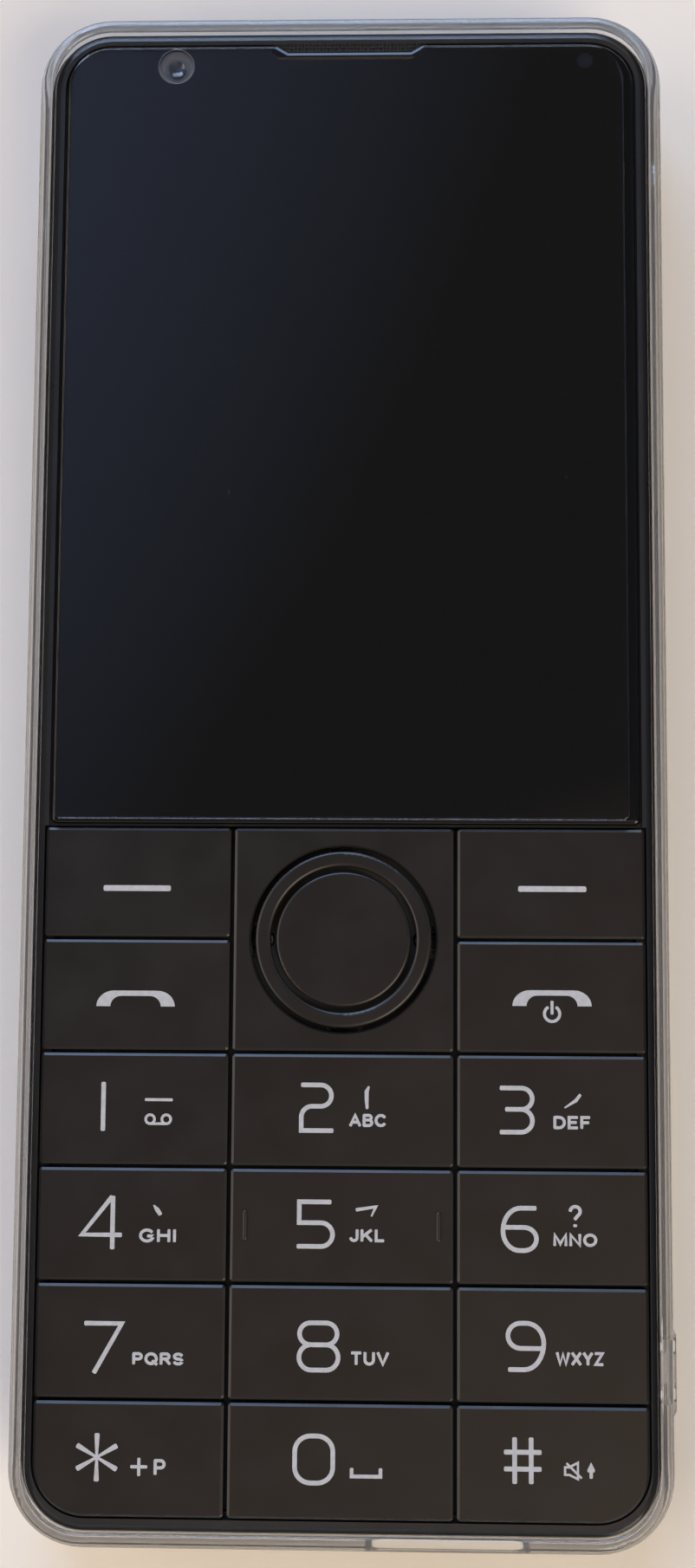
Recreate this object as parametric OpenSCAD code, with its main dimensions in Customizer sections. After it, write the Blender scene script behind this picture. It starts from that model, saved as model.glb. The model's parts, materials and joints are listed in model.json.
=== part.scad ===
// Bar keypad phone with a glass-fronted screen, worn in a clear soft case.
// It lies on its back: +Z points out of the screen, +Y to the earpiece end and +X to the right.
// The origin is the middle of the case's back face. Lengths are in millimetres.

/* [Phone body] */
// Width of the phone without its case
phone_w = 53.8; // [52:0.1:58]
// Length of the phone without its case
phone_l = 132.7; // [130:0.1:140]
// Radius of the outline's corners
corner_r = 5.2; // [5:0.1:6]
// Width of the chamfer round the frame's front edge
edge_chamfer = 0.5; // [0.35:0.05:0.55]
// Slope of that chamfer
edge_slope = 22; // [15:1:45]
// Rounding of the rear cover's edge
rear_edge_r = 1.1; // [0.8:0.05:1.15]

/* [Depth layers] */
// Thickness of the rear cover's panel
rear_wall = 0.8; // [0.7:0.05:1]
// Height of the rear cover's rim above its panel
rear_lip = 0.6; // [0.5:0.05:0.8]
// Depth of the bay that holds the battery
bay_h = 4.5; // [4.3:0.1:5.5]
// Thickness of the plate between battery and display
midplate_t = 0.6; // [0.5:0.05:0.8]
// Depth of the bay that holds the display
display_bay_h = 1.9; // [1.8:0.05:2.2]
// Thickness of the cover glass
glass_t = 0.7; // [0.65:0.05:0.9]
// How far the glass stands above the frame
glass_proud = 0.3; // [0.2:0.05:0.4]
// Thickness of the screen protector
protector_t = 0.33; // [0.25:0.01:0.5]
// Thickness of the glue under the protector
protector_glue = 0.03; // [0.02:0.01:0.05]

/* [Frame walls] */
// Frame wall beside the glass
frame_wall = 0.9; // [0.8:0.05:1.1]
// Frame wall above the glass
top_wall = 0.9; // [0.6:0.05:1.1]
// Frame wall beside the keys
key_wall = 0.55; // [0.5:0.05:0.7]
// Frame wall below the keys
key_end_wall = 1; // [0.6:0.05:1.3]
// Frame wall round the inside bays
bay_wall = 1.4; // [1.3:0.05:1.6]
// Gap between the glass and the frame
glass_gap = 0.15; // [0.1:0.01:0.2]
// Width of the ledge under the glass's long edges
glass_ledge = 2.2; // [1.8:0.1:2.6]
// Width of the ledge under the glass's lower edge
lower_ledge = 1.4; // [1.2:0.05:1.6]
// Width of the ledge under the glass's top edge
upper_ledge = 0.3; // [0.2:0.05:0.4]

/* [Screen] */
// Corner radius of the glass at the top
glass_corner_r = 4.1; // [3.5:0.1:4.6]
// Corner radius of the glass beside the keys
glass_low_corner_r = 0.5; // [0.5:0.05:0.8]
// Rounding of the glass's front edge
glass_edge_r = 0.45; // [0.3:0.05:0.5]
// How far the protector stops short of the glass's long edges
protector_inset = 0.67; // [0.5:0.01:0.9]
// How far to the left the protector is stuck on
protector_shift = 0.33; // [0:0.01:0.4]
// How far the protector stops short of the glass's ends
protector_end_inset = 0.45; // [0.4:0.01:0.6]
// Thickness of the display's glass stack
panel_t = 1.1; // [0.9:0.05:1.2]
// Gap round the display in its bay
panel_gap = 0.3; // [0.2:0.05:0.4]
// Foam gap under the backlight
backlight_gap = 0.1; // [0.05:0.01:0.15]
// Length of the strip above the display for camera and earpiece
sensor_strip = 5.6; // [5.4:0.1:6.5]
// Ledge of the display that its flexible circuit bonds to
bond_ledge = 1.8; // [1.6:0.1:2.2]

/* [Earpiece and front camera] */
// Length of the earpiece notch at the frame
notch_w = 13.9; // [12:0.1:15]
// Length of the earpiece notch inside the glass
notch_inner_w = 11.2; // [10:0.1:11.8]
// Depth of the earpiece notch in the glass
notch_depth = 0.8; // [0.7:0.05:1]
// How much bigger the protector's notch is
protector_notch_margin = 0.6; // [0.5:0.05:0.8]
// Width of the polished bevel on the glass's notch
notch_bevel = 0.26; // [0.2:0.01:0.35]
// Slope of that bevel
notch_slope = 20; // [15:1:35]
// Thickness of the earpiece mesh
mesh_t = 0.35; // [0.25:0.05:0.4]
// Clearance round the earpiece mesh
mesh_gap = 0.1; // [0.05:0.01:0.15]
// Distance of the front camera from the left side
front_camera_from_side = 11.1; // [9:0.1:14]
// Distance of the front camera from the top end
front_camera_from_top = 3.15; // [3.1:0.05:3.45]
// Width of the front camera's square base
front_camera_w = 3.4; // [3.3:0.1:3.4]
// Diameter of the grey ring round the front camera
front_camera_ring_d = 3.3; // [3:0.1:3.4]
// Diameter of the front camera's lens
front_camera_lens_d = 1.6; // [1.2:0.1:2]
// Diameter of the funnel round the front camera's lens
front_camera_funnel_d = 2.4; // [2.2:0.1:2.6]
// Depth of that funnel
front_camera_funnel_h = 0.35; // [0.3:0.05:0.45]
// Distance of the proximity sensor from the right side
sensor_from_side = 5.5; // [5.3:0.1:9]
// Distance of the proximity sensor from the top end
sensor_from_top = 2.85; // [2.75:0.05:3.05]
// Width of the proximity sensor
sensor_w = 2.4; // [2:0.1:2.6]
// Diameter of the proximity sensor's window
sensor_d = 1.65; // [1.2:0.05:1.8]
// Length of the earpiece speaker
earpiece_w = 10; // [8:0.1:12]
// Width of the earpiece speaker
earpiece_d = 4; // [3.6:0.1:4.2]
// Clearance between the pieces on the midplate and the glass
sensor_gap = 0.1; // [0.05:0.01:0.2]

/* [Keys] */
// Height of one row of keys
key_l = 9.5; // [9:0.01:9.6]
// Width of the middle column of keys
mid_col_w = 19.1; // [18.5:0.1:20]
// Gap between columns of keys
col_gap = 0.36; // [0.33:0.01:0.6]
// Gap between rows of keys
row_gap = 0.31; // [0.28:0.01:0.5]
// Gap between the keys and the frame
key_side_gap = 0.2; // [0.15:0.01:0.3]
// Gap between the keys and the glass
key_screen_gap = 0.38; // [0.3:0.01:0.5]
// Thickness of a key
key_t = 1.2; // [1:0.05:1.3]
// How far the keys stand above the frame
key_proud = 0.2; // [0.1:0.05:0.3]
// Gap under a key at rest, a little more than its travel
key_gap = 0.3; // [0.28:0.01:0.35]
// Radius of a key's outline corners
key_corner_r = 0.28; // [0.25:0.01:0.5]
// Width of the bevel round a key's top
key_bevel = 0.22; // [0.15:0.01:0.24]
// Slope of that bevel
key_slope = 33; // [25:1:45]
// Diameter of the plunger under a key
plunger_d = 2.4; // [2:0.1:2.8]
// Spacing of the two touch ridges on the middle key
ridge_spacing = 16.6; // [14:0.1:17]
// Length of a touch ridge
ridge_l = 2.6; // [2:0.1:3]
// Width of a touch ridge
ridge_w = 0.44; // [0.3:0.02:0.5]
// Height of a touch ridge
ridge_h = 0.18; // [0.1:0.01:0.2]

/* [Navigation keys] */
// Rounding of the top edges of the ring and the middle key
nav_edge_r = 0.3; // [0.2:0.01:0.35]
// Outer diameter of the four-way ring
ring_od = 15.3; // [14.5:0.1:15.8]
// Diameter of the middle key
ok_d = 11.76; // [11:0.02:12]
// Gap between the ring and the plate round it
ring_gap = 0.43; // [0.35:0.01:0.5]
// Gap between the middle key and the ring
ok_gap = 0.45; // [0.4:0.01:0.5]
// How far the ring stands above the keys
ring_proud = 0.35; // [0.25:0.05:0.45]
// How far the middle key stands above the keys
ok_proud = 0.25; // [0.2:0.05:0.35]
// Gap under the middle key, for its travel and the rocker's tilt
ok_rest_gap = 0.5; // [0.48:0.01:0.55]
// Thickness of the rocker plate under the ring
rocker_t = 0.25; // [0.2:0.01:0.3]
// Room above and below the rocker for its tilt
tilt_gap = 0.35; // [0.33:0.01:0.4]
// How far the rocker plate stops inside the ring's edge
rocker_inset = 0.1; // [0.05:0.01:0.15]
// Diameter of the nubs that press the four-way switches
nub_d = 1.2; // [1:0.05:1.25]

/* [Keypad parts] */
// Diameter of the snap dome under a key
dome_d = 4; // [3.6:0.1:4.4]
// Diameter of the snap domes under the ring
nav_dome_d = 3; // [2.8:0.1:3.2]
// Height of a snap dome
dome_h = 0.25; // [0.2:0.01:0.3]
// Diameter of the flat top of a snap dome
dome_top_d = 1.4; // [1:0.1:1.6]
// Thickness of the dome's metal
dome_t = 0.08; // [0.06:0.01:0.1]
// Clearance round domes and plungers in the keypad web
web_clear = 0.3; // [0.25:0.01:0.35]
// Room over a screw head or light under the keypad web
web_pocket_clear = 0.1; // [0.08:0.01:0.15]
// Thickness of the circuit boards
board_t = 0.8; // [0.6:0.05:1]
// How far the main board's back lies below the midplate
board_drop = 0.3; // [0.25:0.01:0.4]
// Gap between the boards and the bay wall
board_gap = 0.2; // [0.15:0.01:0.3]
// Length of a key light
led_l = 1.6; // [1.2:0.1:1.8]
// Width of a key light
led_w = 0.8; // [0.6:0.1:1]
// Height of a key light
led_h = 0.6; // [0.4:0.05:0.7]

/* [Screws] */
// Thread diameter of a screw
screw_d = 1.3; // [1.2:0.05:1.4]
// Clearance round a screw's thread, on the diameter
screw_clear = 0.1; // [0.08:0.01:0.2]
// Head diameter of a screw
screw_head_d = 2.4; // [2.2:0.1:2.6]
// Head height of a screw
screw_head_h = 0.4; // [0.3:0.05:0.5]
// Thread length of a main board screw
screw_l = 2.4; // [2:0.1:2.8]
// Thread length of a top board screw
top_screw_l = 1.4; // [1.3:0.05:1.5]
// Diameter of a screw post
boss_d = 3.2; // [2.8:0.1:3.4]
// Distance of a screw from the bay wall
screw_inset = 1.35; // [1.25:0.05:1.5]

/* [Charging socket] */
// Distance of the charging socket's middle from the right side
plug_from_side = 17.75; // [16:0.05:19]
// Width of the socket's shell
usb_w = 8.94; // [8.9:0.01:9]
// Height of the socket's shell
usb_h = 3.26; // [3.2:0.01:3.3]
// Length of the socket's shell
usb_l = 7.3; // [6.8:0.1:8]
// Thickness of the socket's shell
usb_wall = 0.25; // [0.2:0.01:0.3]
// Depth of the socket's mouth below the frame's end
usb_recess = 0.3; // [0.2:0.05:0.5]
// Clearance round the socket in the frame
usb_gap = 0.15; // [0.1:0.01:0.2]
// Width of the tongue in the socket
tongue_w = 6.7; // [6.5:0.1:6.8]
// Thickness of the tongue in the socket
tongue_t = 0.7; // [0.65:0.01:0.75]
// Length of the tongue in the socket
tongue_l = 4.5; // [4.2:0.1:4.8]

/* [Parts on the boards] */
// Clearance between a shield can and its chip
can_gap = 0.3; // [0.2:0.05:0.4]
// Thickness of a shield can's sheet
can_wall = 0.2; // [0.15:0.01:0.25]
// Height of a shield can
can_h = 1.5; // [1.3:0.05:1.7]
// Width of a shield can
can_w = 19; // [17:0.5:20]
// Length of a shield can
can_l = 22; // [18:0.5:23]
// Distance of the shield cans from the board's upper edge
can_from_edge = 2.6; // [2.4:0.1:3]
// Gap between the two shield cans
can_spacing = 3; // [2.6:0.1:4]
// Width of a chip under a shield can
chip_w = 11; // [9:0.5:13]
// Width of the card socket
sim_w = 16; // [15:0.5:17]
// Length of the card socket
sim_l = 14; // [13:0.5:15]
// Height of the card socket
sim_h = 1.4; // [1.3:0.05:1.6]
// Thickness of the card socket's sheet
sim_wall = 0.25; // [0.2:0.01:0.3]
// Distance of the card socket's middle from the left side
sim_from_side = 14.9; // [14:0.1:16]
// Distance of the card socket's middle from the bottom end
sim_from_bottom = 24; // [23.5:0.5:25]
// Distance between the microphone and the charging socket's middle
mic_from_plug = 6.4; // [6.3:0.05:6.6]
// Width of the microphone
mic_w = 2.8; // [2.4:0.1:3]
// Height of the microphone
mic_h = 1.1; // [0.9:0.05:1.2]
// Diameter of the microphone's sound hole
mic_hole_d = 0.8; // [0.6:0.05:0.9]
// Diameter of the vibration motor's can
motor_d = 8; // [7.5:0.1:8.4]
// Height of the vibration motor's can
motor_h = 2.8; // [2.6:0.1:3]
// Wall of the vibration motor's can
motor_wall = 0.3; // [0.25:0.01:0.35]
// Diameter of the vibration motor's spindle
spindle_d = 0.8; // [0.7:0.02:1]
// Running clearance of the rotor on its spindle
spindle_gap = 0.05; // [0.04:0.01:0.08]
// Running clearance between the rotor and its can
rotor_gap = 0.3; // [0.25:0.01:0.4]
// Distance of the vibration motor from the right side
motor_from_side = 9.9; // [9.4:0.1:10.4]
// Distance of the vibration motor from the bottom end
motor_from_bottom = 17; // [16.5:0.1:18]

/* [Loudspeaker] */
// Distance of the loudspeaker's middle from the left side
speaker_from_side = 14.4; // [13:0.1:16]
// Distance of the loudspeaker from the bottom end
speaker_from_bottom = 9; // [8.5:0.1:9.5]
// Length of the loudspeaker
speaker_w = 15; // [14:0.1:16]
// Width of the loudspeaker
speaker_l = 9; // [8:0.1:9.5]
// Height of the loudspeaker
speaker_h = 2.8; // [2.4:0.1:3]
// Thickness of the dust mesh under the loudspeaker
dust_mesh_t = 0.1; // [0.08:0.01:0.15]
// Number of sound slots in the rear cover
slot_count = 5; // [3:1:6]
// Spacing of the sound slots
slot_pitch = 2; // [1.8:0.05:2.2]
// Width of a sound slot
slot_w = 1; // [0.8:0.05:1.2]
// Length of a sound slot
slot_l = 4; // [3:0.1:5]

/* [Battery and links] */
// Gap beside the battery, for the link to the top board
battery_side_gap = 4; // [3.8:0.1:5]
// Gap between the battery and the rear cover
battery_back_gap = 0.3; // [0.25:0.05:0.5]
// Gap between the battery and the crossbar's line
battery_end_gap = 2.6; // [2.4:0.1:3]
// Gap between the battery and the top board
battery_top_gap = 2; // [1.8:0.1:2.5]
// Thickness of the flexible circuits
flex_t = 0.15; // [0.1:0.01:0.18]
// Width of the display's flexible circuit
display_flex_w = 12; // [10:0.5:13]
// Width of the battery's lead
lead_w = 5; // [4:0.1:6]
// Distance of the battery's lead from the right side
lead_from_side = 13.9; // [13:0.1:15]
// Width of the link between the boards
link_w = 2; // [1.6:0.1:2.2]
// Length that a flexible circuit overlaps a board
flex_overlap = 1.8; // [1.6:0.1:2]
// Clearance round the display's flexible circuit in its slot
flex_slot_gap = 0.4; // [0.3:0.05:0.5]
// Width of the antenna on the rear cover
antenna_w = 19; // [16:0.5:20]
// Length of the antenna on the rear cover
antenna_l = 6; // [5:0.5:7]
// Distance of the antenna's middle from the right side
antenna_from_side = 14.9; // [14.4:0.1:15.4]

/* [Rear camera] */
// Length of the top board
top_board_l = 20; // [19:0.5:21]
// Gap between the top board and the midplate
top_board_gap = 0.2; // [0.15:0.01:0.3]
// Distance of the rear camera from the phone's right side
camera_from_side = 12.4; // [12:0.1:13]
// Distance of the rear camera and flash from the top end
camera_from_top = 12; // [11.5:0.1:12.5]
// Width of the rear camera's body
camera_w = 8.5; // [8:0.1:9]
// Diameter of the rear camera's barrel
barrel_d = 6; // [5.5:0.1:6.4]
// Gap between the barrel and its window
barrel_gap = 0.2; // [0.15:0.01:0.3]
// Depth of the rear camera's body above the rear cover
camera_body_gap = 0.6; // [0.4:0.05:0.8]
// Outer diameter of the rear camera's bezel
bezel_od = 10; // [9.5:0.1:10.4]
// Diameter of the rear camera's window
window_d = 7; // [6.6:0.1:7.4]
// Thickness of the rear camera's window
window_t = 0.6; // [0.5:0.05:0.7]
// How far the bezel stands out of the rear cover
bezel_proud = 0.4; // [0.3:0.05:0.5]
// How far the window lies below the bezel's face
window_recess = 0.1; // [0.05:0.01:0.15]
// Clearance round the bezel and the flash window
window_gap = 0.1; // [0.08:0.01:0.15]
// Distance between the flash and the rear camera
flash_from_camera = 11; // [10.5:0.1:11.5]
// Diameter of the flash window
flash_d = 4; // [3.6:0.1:4.2]
// Width of the flash's light pipe
flash_w = 2.6; // [2.2:0.1:2.8]
// Gap between the light pipe and the flash window
flash_gap = 0.2; // [0.15:0.01:0.3]

/* [Clear case] */
// Thickness of the case's wall
case_wall = 1.2; // [1.15:0.05:1.8]
// Thickness of the case's floor
case_floor = 1; // [0.8:0.05:1.4]
// Gap between the case and the phone
case_gap = 0.1; // [0.05:0.01:0.15]
// How far the rim stands above the glass
rim_above = 0.7; // [0.6:0.05:1]
// How far the lip reaches in from the wall, towards the phone
lip_reach = 0.1; // [0.1:0.05:0.45]
// Clearance between the lip and the frame's chamfer
lip_gap = 0.15; // [0.12:0.01:0.2]
// Rounding of the rim's outer edge
rim_r = 0.8; // [0.6:0.05:0.9]
// Rounding of the rim's inner edge
lip_r = 0.35; // [0.25:0.05:0.4]
// Rounding of the case's lower edge
case_edge_r = 1; // [0.6:0.1:1.1]
// Width of the cut-out for the charging plug
cutout_w = 14.2; // [14:0.1:15]
// Height of the cut-out for the charging plug
cutout_h = 6; // [5.5:0.1:6.2]
// Corner radius of the cut-out
cutout_r = 2; // [1.5:0.1:2.5]
// Clearance round the camera and the sound slots in the case's floor
opening_margin = 1; // [0.8:0.1:1.4]
// Distance of the strap bar from the bottom end
strap_from_bottom = 13.4; // [12:0.1:14]
// Length of the raised pad round the strap bar
strap_pad_l = 8.3; // [7.5:0.1:9]
// How far the pad stands out of the wall
strap_pad_proud = 0.45; // [0.3:0.05:0.6]
// Length of the pad's sloping ends
strap_pad_slope = 1; // [0.8:0.1:1.4]
// Height of the pad
strap_pad_h = 5.4; // [5:0.1:6]
// Spacing of the two strap holes
strap_pitch = 4; // [3.8:0.1:4.4]
// Width of a strap hole
strap_hole_w = 1.4; // [1.2:0.05:1.6]
// Height of a strap hole
strap_hole_h = 3.2; // [2.6:0.1:3.6]
// Depth of the channel behind the strap bar
strap_channel = 0.85; // [0.7:0.05:0.95]

/* [Hidden] */
$fn = 64;
// Overlap that keeps a cut clear of the face it starts on
cut = 1;

// Names, columns and rows of the separate keys
KEYS = [
    ["key_left_soft", 0, 0], ["key_right_soft", 2, 0], ["key_call", 0, 1], ["key_end", 2, 1],
    ["key_1", 0, 2], ["key_2", 1, 2], ["key_3", 2, 2],
    ["key_4", 0, 3], ["key_5", 1, 3], ["key_6", 2, 3],
    ["key_7", 0, 4], ["key_8", 1, 4], ["key_9", 2, 4],
    ["key_star", 0, 5], ["key_0", 1, 5], ["key_hash", 2, 5]
];
RIDGED_KEY = "key_5";

// Heights of the layers, from the back to the front
back_z = case_floor;
bay_z = back_z + rear_wall;
seam_z = bay_z + rear_lip;
mid_z = bay_z + bay_h;
display_z = mid_z + midplate_t;
glass_z = display_z + display_bay_h;
glass_top_z = glass_z + glass_t;
frame_top_z = glass_top_z - glass_proud;
protector_z = glass_top_z + protector_glue;
rim_z = glass_top_z + rim_above;

// Heights of the keypad's layers
key_top_z = frame_top_z + key_proud;
key_z = key_top_z - key_t;
web_top_z = key_z - key_gap;
board_z = mid_z - board_drop;
board_top_z = board_z + board_t;
plunger_z = board_top_z + dome_h + key_gap;
rocker_z = web_top_z + tilt_gap;
rocker_top_z = rocker_z + rocker_t;
ring_z = rocker_top_z + tilt_gap;
ring_top_z = key_top_z + ring_proud;
ok_z = rocker_top_z + ok_rest_gap;
ok_top_z = key_top_z + ok_proud;

// The phone's sides and ends, and the bays inside it
left_x = -phone_w / 2;
right_x = phone_w / 2;
top_y = phone_l / 2;
bottom_y = -phone_l / 2;
bay_w = phone_w - 2 * bay_wall;
bay_l = phone_l - 2 * bay_wall;
bay_r = corner_r - bay_wall;
frame_rim = 1.2;
edge_drop = edge_chamfer * tan(edge_slope);
rear_rim = 1.6;

// The grid of keys
last_row = max([for (k = KEYS) k[2]]);
keys_w = phone_w - 2 * key_wall - 2 * key_side_gap;
keys_l = (last_row + 1) * key_l + last_row * row_gap;
keys_bottom_y = bottom_y + key_end_wall + key_side_gap;
keys_top_y = keys_bottom_y + keys_l;
keypad_r = corner_r - key_wall - key_side_gap;
key_rim = (key_corner_r + key_bevel) / 2;
key_drop = key_bevel * tan(key_slope);
side_col_w = (keys_w - mid_col_w) / 2 - col_gap;
opening_top_y = keys_top_y + key_side_gap;

// The glass, the display's bay and the protector
glass_w = phone_w - 2 * frame_wall - 2 * glass_gap;
glass_y0 = keys_top_y + key_screen_gap;
glass_y1 = top_y - top_wall - glass_gap;
glass_l = glass_y1 - glass_y0;
glass_y = (glass_y0 + glass_y1) / 2;
glass_radii = [glass_corner_r, glass_corner_r, glass_low_corner_r, glass_low_corner_r];
glass_rim = (glass_low_corner_r + glass_edge_r) / 2;
display_w = glass_w - 2 * glass_ledge;
display_y0 = glass_y0 + lower_ledge;
display_y1 = glass_y1 - upper_ledge;
display_r = 1.2;
panel_w = display_w - 2 * panel_gap;
panel_y0 = display_y0 + panel_gap;
panel_y1 = display_y1 - sensor_strip;
panel_z = glass_z - panel_t;
protector_radii = [for (r = glass_radii) max(r - protector_inset, glass_low_corner_r)];
protector_edge_r = 0.15;
sensor_top_z = glass_z - sensor_gap;
front_camera_x = left_x + front_camera_from_side;
sensor_x = right_x - sensor_from_side;

// The navigation keys
nav_y = keys_top_y - key_l - row_gap / 2;
nav_hole_d = ring_od + 2 * ring_gap;
ring_id = ok_d + 2 * ok_gap;
nub_r = (ring_od + ring_id) / 4;
nub_hole_d = nub_d + 2 * tilt_gap;
rocker_d = ring_od - 2 * rocker_inset;
nav_edge_chamfer = 0.15;
nav_angles = [0, 90, 180, 270];

// Places on the boards
board_w = bay_w - 2 * board_gap;
board_y0 = bottom_y + bay_wall + board_gap;
board_y1 = opening_top_y - board_gap;
board_r = bay_r - board_gap;
screw_x = bay_w / 2 - screw_inset;
screw_rows = [0.5, last_row - 0.5];
led_rows = [0.5, 2.5, last_row - 0.5];
led_x = mid_col_w / 2 + col_gap / 2;
top_board_z = mid_z - top_board_gap - board_t;
top_board_y1 = top_y - bay_wall - board_gap;
top_board_y0 = top_board_y1 - top_board_l;
top_screw_x = screw_x - boss_d;
top_screw_y = top_board_y0 + screw_inset;
can_x = (can_w + can_spacing) / 2;
can_y = board_y1 - can_from_edge - can_l / 2;
chip_h = can_h - can_wall - can_gap;
sim_x = left_x + sim_from_side;
motor_x = right_x - motor_from_side;
motor_y = bottom_y + motor_from_bottom;
motor_z = board_z - motor_h;
rotor_z = motor_z + motor_wall + rotor_gap;
rotor_h = motor_h - 2 * motor_wall - 2 * rotor_gap;
rotor_r = motor_d / 2 - motor_wall - rotor_gap;
rotor_hub_r = rotor_r / 2;

// The charging socket and the microphone
plug_x = right_x - plug_from_side;
usb_z = board_z - usb_h / 2;
usb_y0 = bottom_y + usb_recess;
usb_back_y = usb_y0 + usb_l - usb_wall;
mic_x = plug_x - mic_from_plug;
mic_y = board_y0 + mic_w / 2;
mic_z = board_z - mic_h / 2;

// The battery and the flexible circuits
battery_w = bay_w - 2 * battery_side_gap;
battery_z = bay_z + battery_back_gap;
battery_y0 = display_y0 + battery_end_gap;
battery_y1 = top_board_y0 - battery_top_gap;
flex_z = board_z - flex_t / 2;
flex_end_y = board_y1 - flex_overlap;
lead_x = right_x - lead_from_side;
display_flex_y = panel_y0 + flex_slot_gap;
link_x = battery_w / 2 + battery_side_gap / 2;
link_step_y = top_board_y0 - battery_top_gap / 2;
link_end_y = top_board_y0 + flex_overlap;

// The rear camera, the loudspeaker and the antenna
camera_x = right_x - camera_from_side;
flash_x = camera_x - flash_from_camera;
camera_y = top_y - camera_from_top;
bezel_z = back_z - bezel_proud;
window_z = bezel_z + window_recess;
barrel_z = window_z + window_t + barrel_gap;
camera_body_z = bay_z + camera_body_gap;
speaker_x = left_x + speaker_from_side;
speaker_y = bottom_y + speaker_from_bottom;
antenna_x = right_x - antenna_from_side;

// The case
case_out = case_gap + case_wall;
case_rim = 2;
lip_x = case_gap - lip_reach;
lip_z0 = frame_top_z - edge_drop + lip_gap;
strap_y = bottom_y + strap_from_bottom;
strap_z = (back_z + frame_top_z) / 2;
case_half_w = phone_w / 2 + case_out;

function four(r) = [r, r, r, r];
function less(radii, d) = [for (r = radii) max(r - d, 0)];
function col_w(c) = c == 1 ? mid_col_w : side_col_w;
function col_x(c) = (c - 1) * (mid_col_w / 2 + col_gap + side_col_w / 2);
function row_y(r) = keys_top_y - key_l / 2 - r * (key_l + row_gap);
function outer_r(c, r, side) = r == last_row && c == side ? keypad_r : key_corner_r;
function key_radii(c, r) = [key_corner_r, key_corner_r, outer_r(c, r, 0), outer_r(c, r, 2)];

// A rectangle with its own radius at each corner, anticlockwise from top right
module round_rect(w, l, radii) {
    signs = [[1, 1], [-1, 1], [-1, -1], [1, -1]];
    polygon([
        [w / 2, l / 2 - radii[0]], [w / 2 - radii[0], l / 2],
        [radii[1] - w / 2, l / 2], [-w / 2, l / 2 - radii[1]],
        [-w / 2, radii[2] - l / 2], [radii[2] - w / 2, -l / 2],
        [w / 2 - radii[3], -l / 2], [w / 2, radii[3] - l / 2]
    ]);
    for (i = [0:3])
        if (radii[i] > 0)
            translate([signs[i][0] * (w / 2 - radii[i]), signs[i][1] * (l / 2 - radii[i])])
                circle(radii[i]);
}

// The rim of a rounded plate: the child's x runs outwards from the outline and its y runs up
module rim(w, l, radii) {
    signs = [[1, 1], [-1, 1], [-1, -1], [1, -1]];
    for (i = [0:3])
        translate([signs[i][0] * (w / 2 - radii[i]), signs[i][1] * (l / 2 - radii[i]), 0])
            rotate(90 * i)
                rotate_extrude(angle = 90)
                    translate([radii[i], 0])
                        children();
    translate([w / 2, l / 2 - radii[0], 0])
        rotate([90, 0, 0])
            linear_extrude(l - radii[0] - radii[3])
                children();
    translate([radii[1] - w / 2, l / 2, 0])
        rotate([90, 0, 90])
            linear_extrude(w - radii[0] - radii[1])
                children();
    translate([-w / 2, radii[2] - l / 2, 0])
        rotate([90, 0, 180])
            linear_extrude(l - radii[1] - radii[2])
                children();
    translate([w / 2 - radii[3], -l / 2, 0])
        rotate([90, 0, 270])
            linear_extrude(w - radii[2] - radii[3])
                children();
}

// A rounded plate from z0 to z1
module slab(w, l, radii, z0, z1) {
    translate([0, 0, z0])
        linear_extrude(z1 - z0)
            round_rect(w, l, radii);
}

// A quarter disc at a corner, pointing towards sx and sy
module quarter(x, y, r, sx, sy) {
    translate([x, y])
        intersection() {
            circle(r);
            translate([sx < 0 ? -2 * r : 0, sy < 0 ? -2 * r : 0])
                square(2 * r);
        }
}

// Cross-section of a rim of the given width with a rounded top edge
module soft_edge(width, z0, z1, r) {
    translate([-width, z0])
        square([width, z1 - r - z0]);
    translate([-width, z0])
        square([width - r, z1 - z0]);
    quarter(-r, z1 - r, r, 1, 1);
}

// A rounded plate with a soft top edge: the plate reaches half way into the flat part of its rim
module soft_slab(w, l, radii, inset, z0, z1, r) {
    slab(w - inset - r, l - inset - r, less(radii, (inset + r) / 2), z0, z1);
    rim(w, l, radii)
        soft_edge(inset, z0, z1, r);
}

// A rounded plate with a bevelled top edge, made in the same way
module bevel_slab(w, l, radii, inset, z0, z1, bevel, drop) {
    slab(w - inset - bevel, l - inset - bevel, less(radii, (inset + bevel) / 2), z0, z1);
    rim(w, l, radii)
        polygon([[-inset, z0], [0, z0], [0, z1 - drop], [-bevel, z1], [-inset, z1]]);
}

// A slot with round ends, lying along X
module stadium(w, h) {
    square([w - h, h], center = true);
    for (s = [-1, 1])
        translate([s * (w - h) / 2, 0])
            circle(d = h);
}

// A shape drawn in X and Z, standing up and extruded from y0 to y1
module along_y(y0, y1) {
    translate([0, y1, 0])
        rotate([90, 0, 0])
            linear_extrude(y1 - y0)
                children();
}

// A block between two corners
module block(low, high) {
    translate(low)
        cube(high - low);
}

// A flat strip that follows square bends in Y and Z
module strip(x, w, path) {
    half = flex_t / 2;
    for (i = [1:len(path) - 1]) {
        a = path[i - 1];
        b = path[i];
        block(
            [x - w / 2, min(a[0], b[0]) - half, min(a[1], b[1]) - half],
            [x + w / 2, max(a[0], b[0]) + half, max(a[1], b[1]) + half]
        );
    }
}

// Puts the children at each main board screw
module at_board_screws() {
    for (side = [-1, 1], row = screw_rows)
        translate([side * screw_x, row_y(row), 0])
            children();
}

// Puts the children at each top board screw
module at_top_screws() {
    for (side = [-1, 1])
        translate([side * top_screw_x, top_screw_y, 0])
            children();
}

// Puts the children at the middle of every key
module at_keys() {
    for (k = KEYS)
        translate([col_x(k[1]), row_y(k[2]), 0])
            children();
    translate([0, nav_y, 0])
        children();
}

// Puts the children at the ring's switches, at the given angles
module at_nav(angles) {
    for (a = angles)
        translate([nub_r * cos(a), nav_y + nub_r * sin(a), 0])
            children();
}

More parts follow.
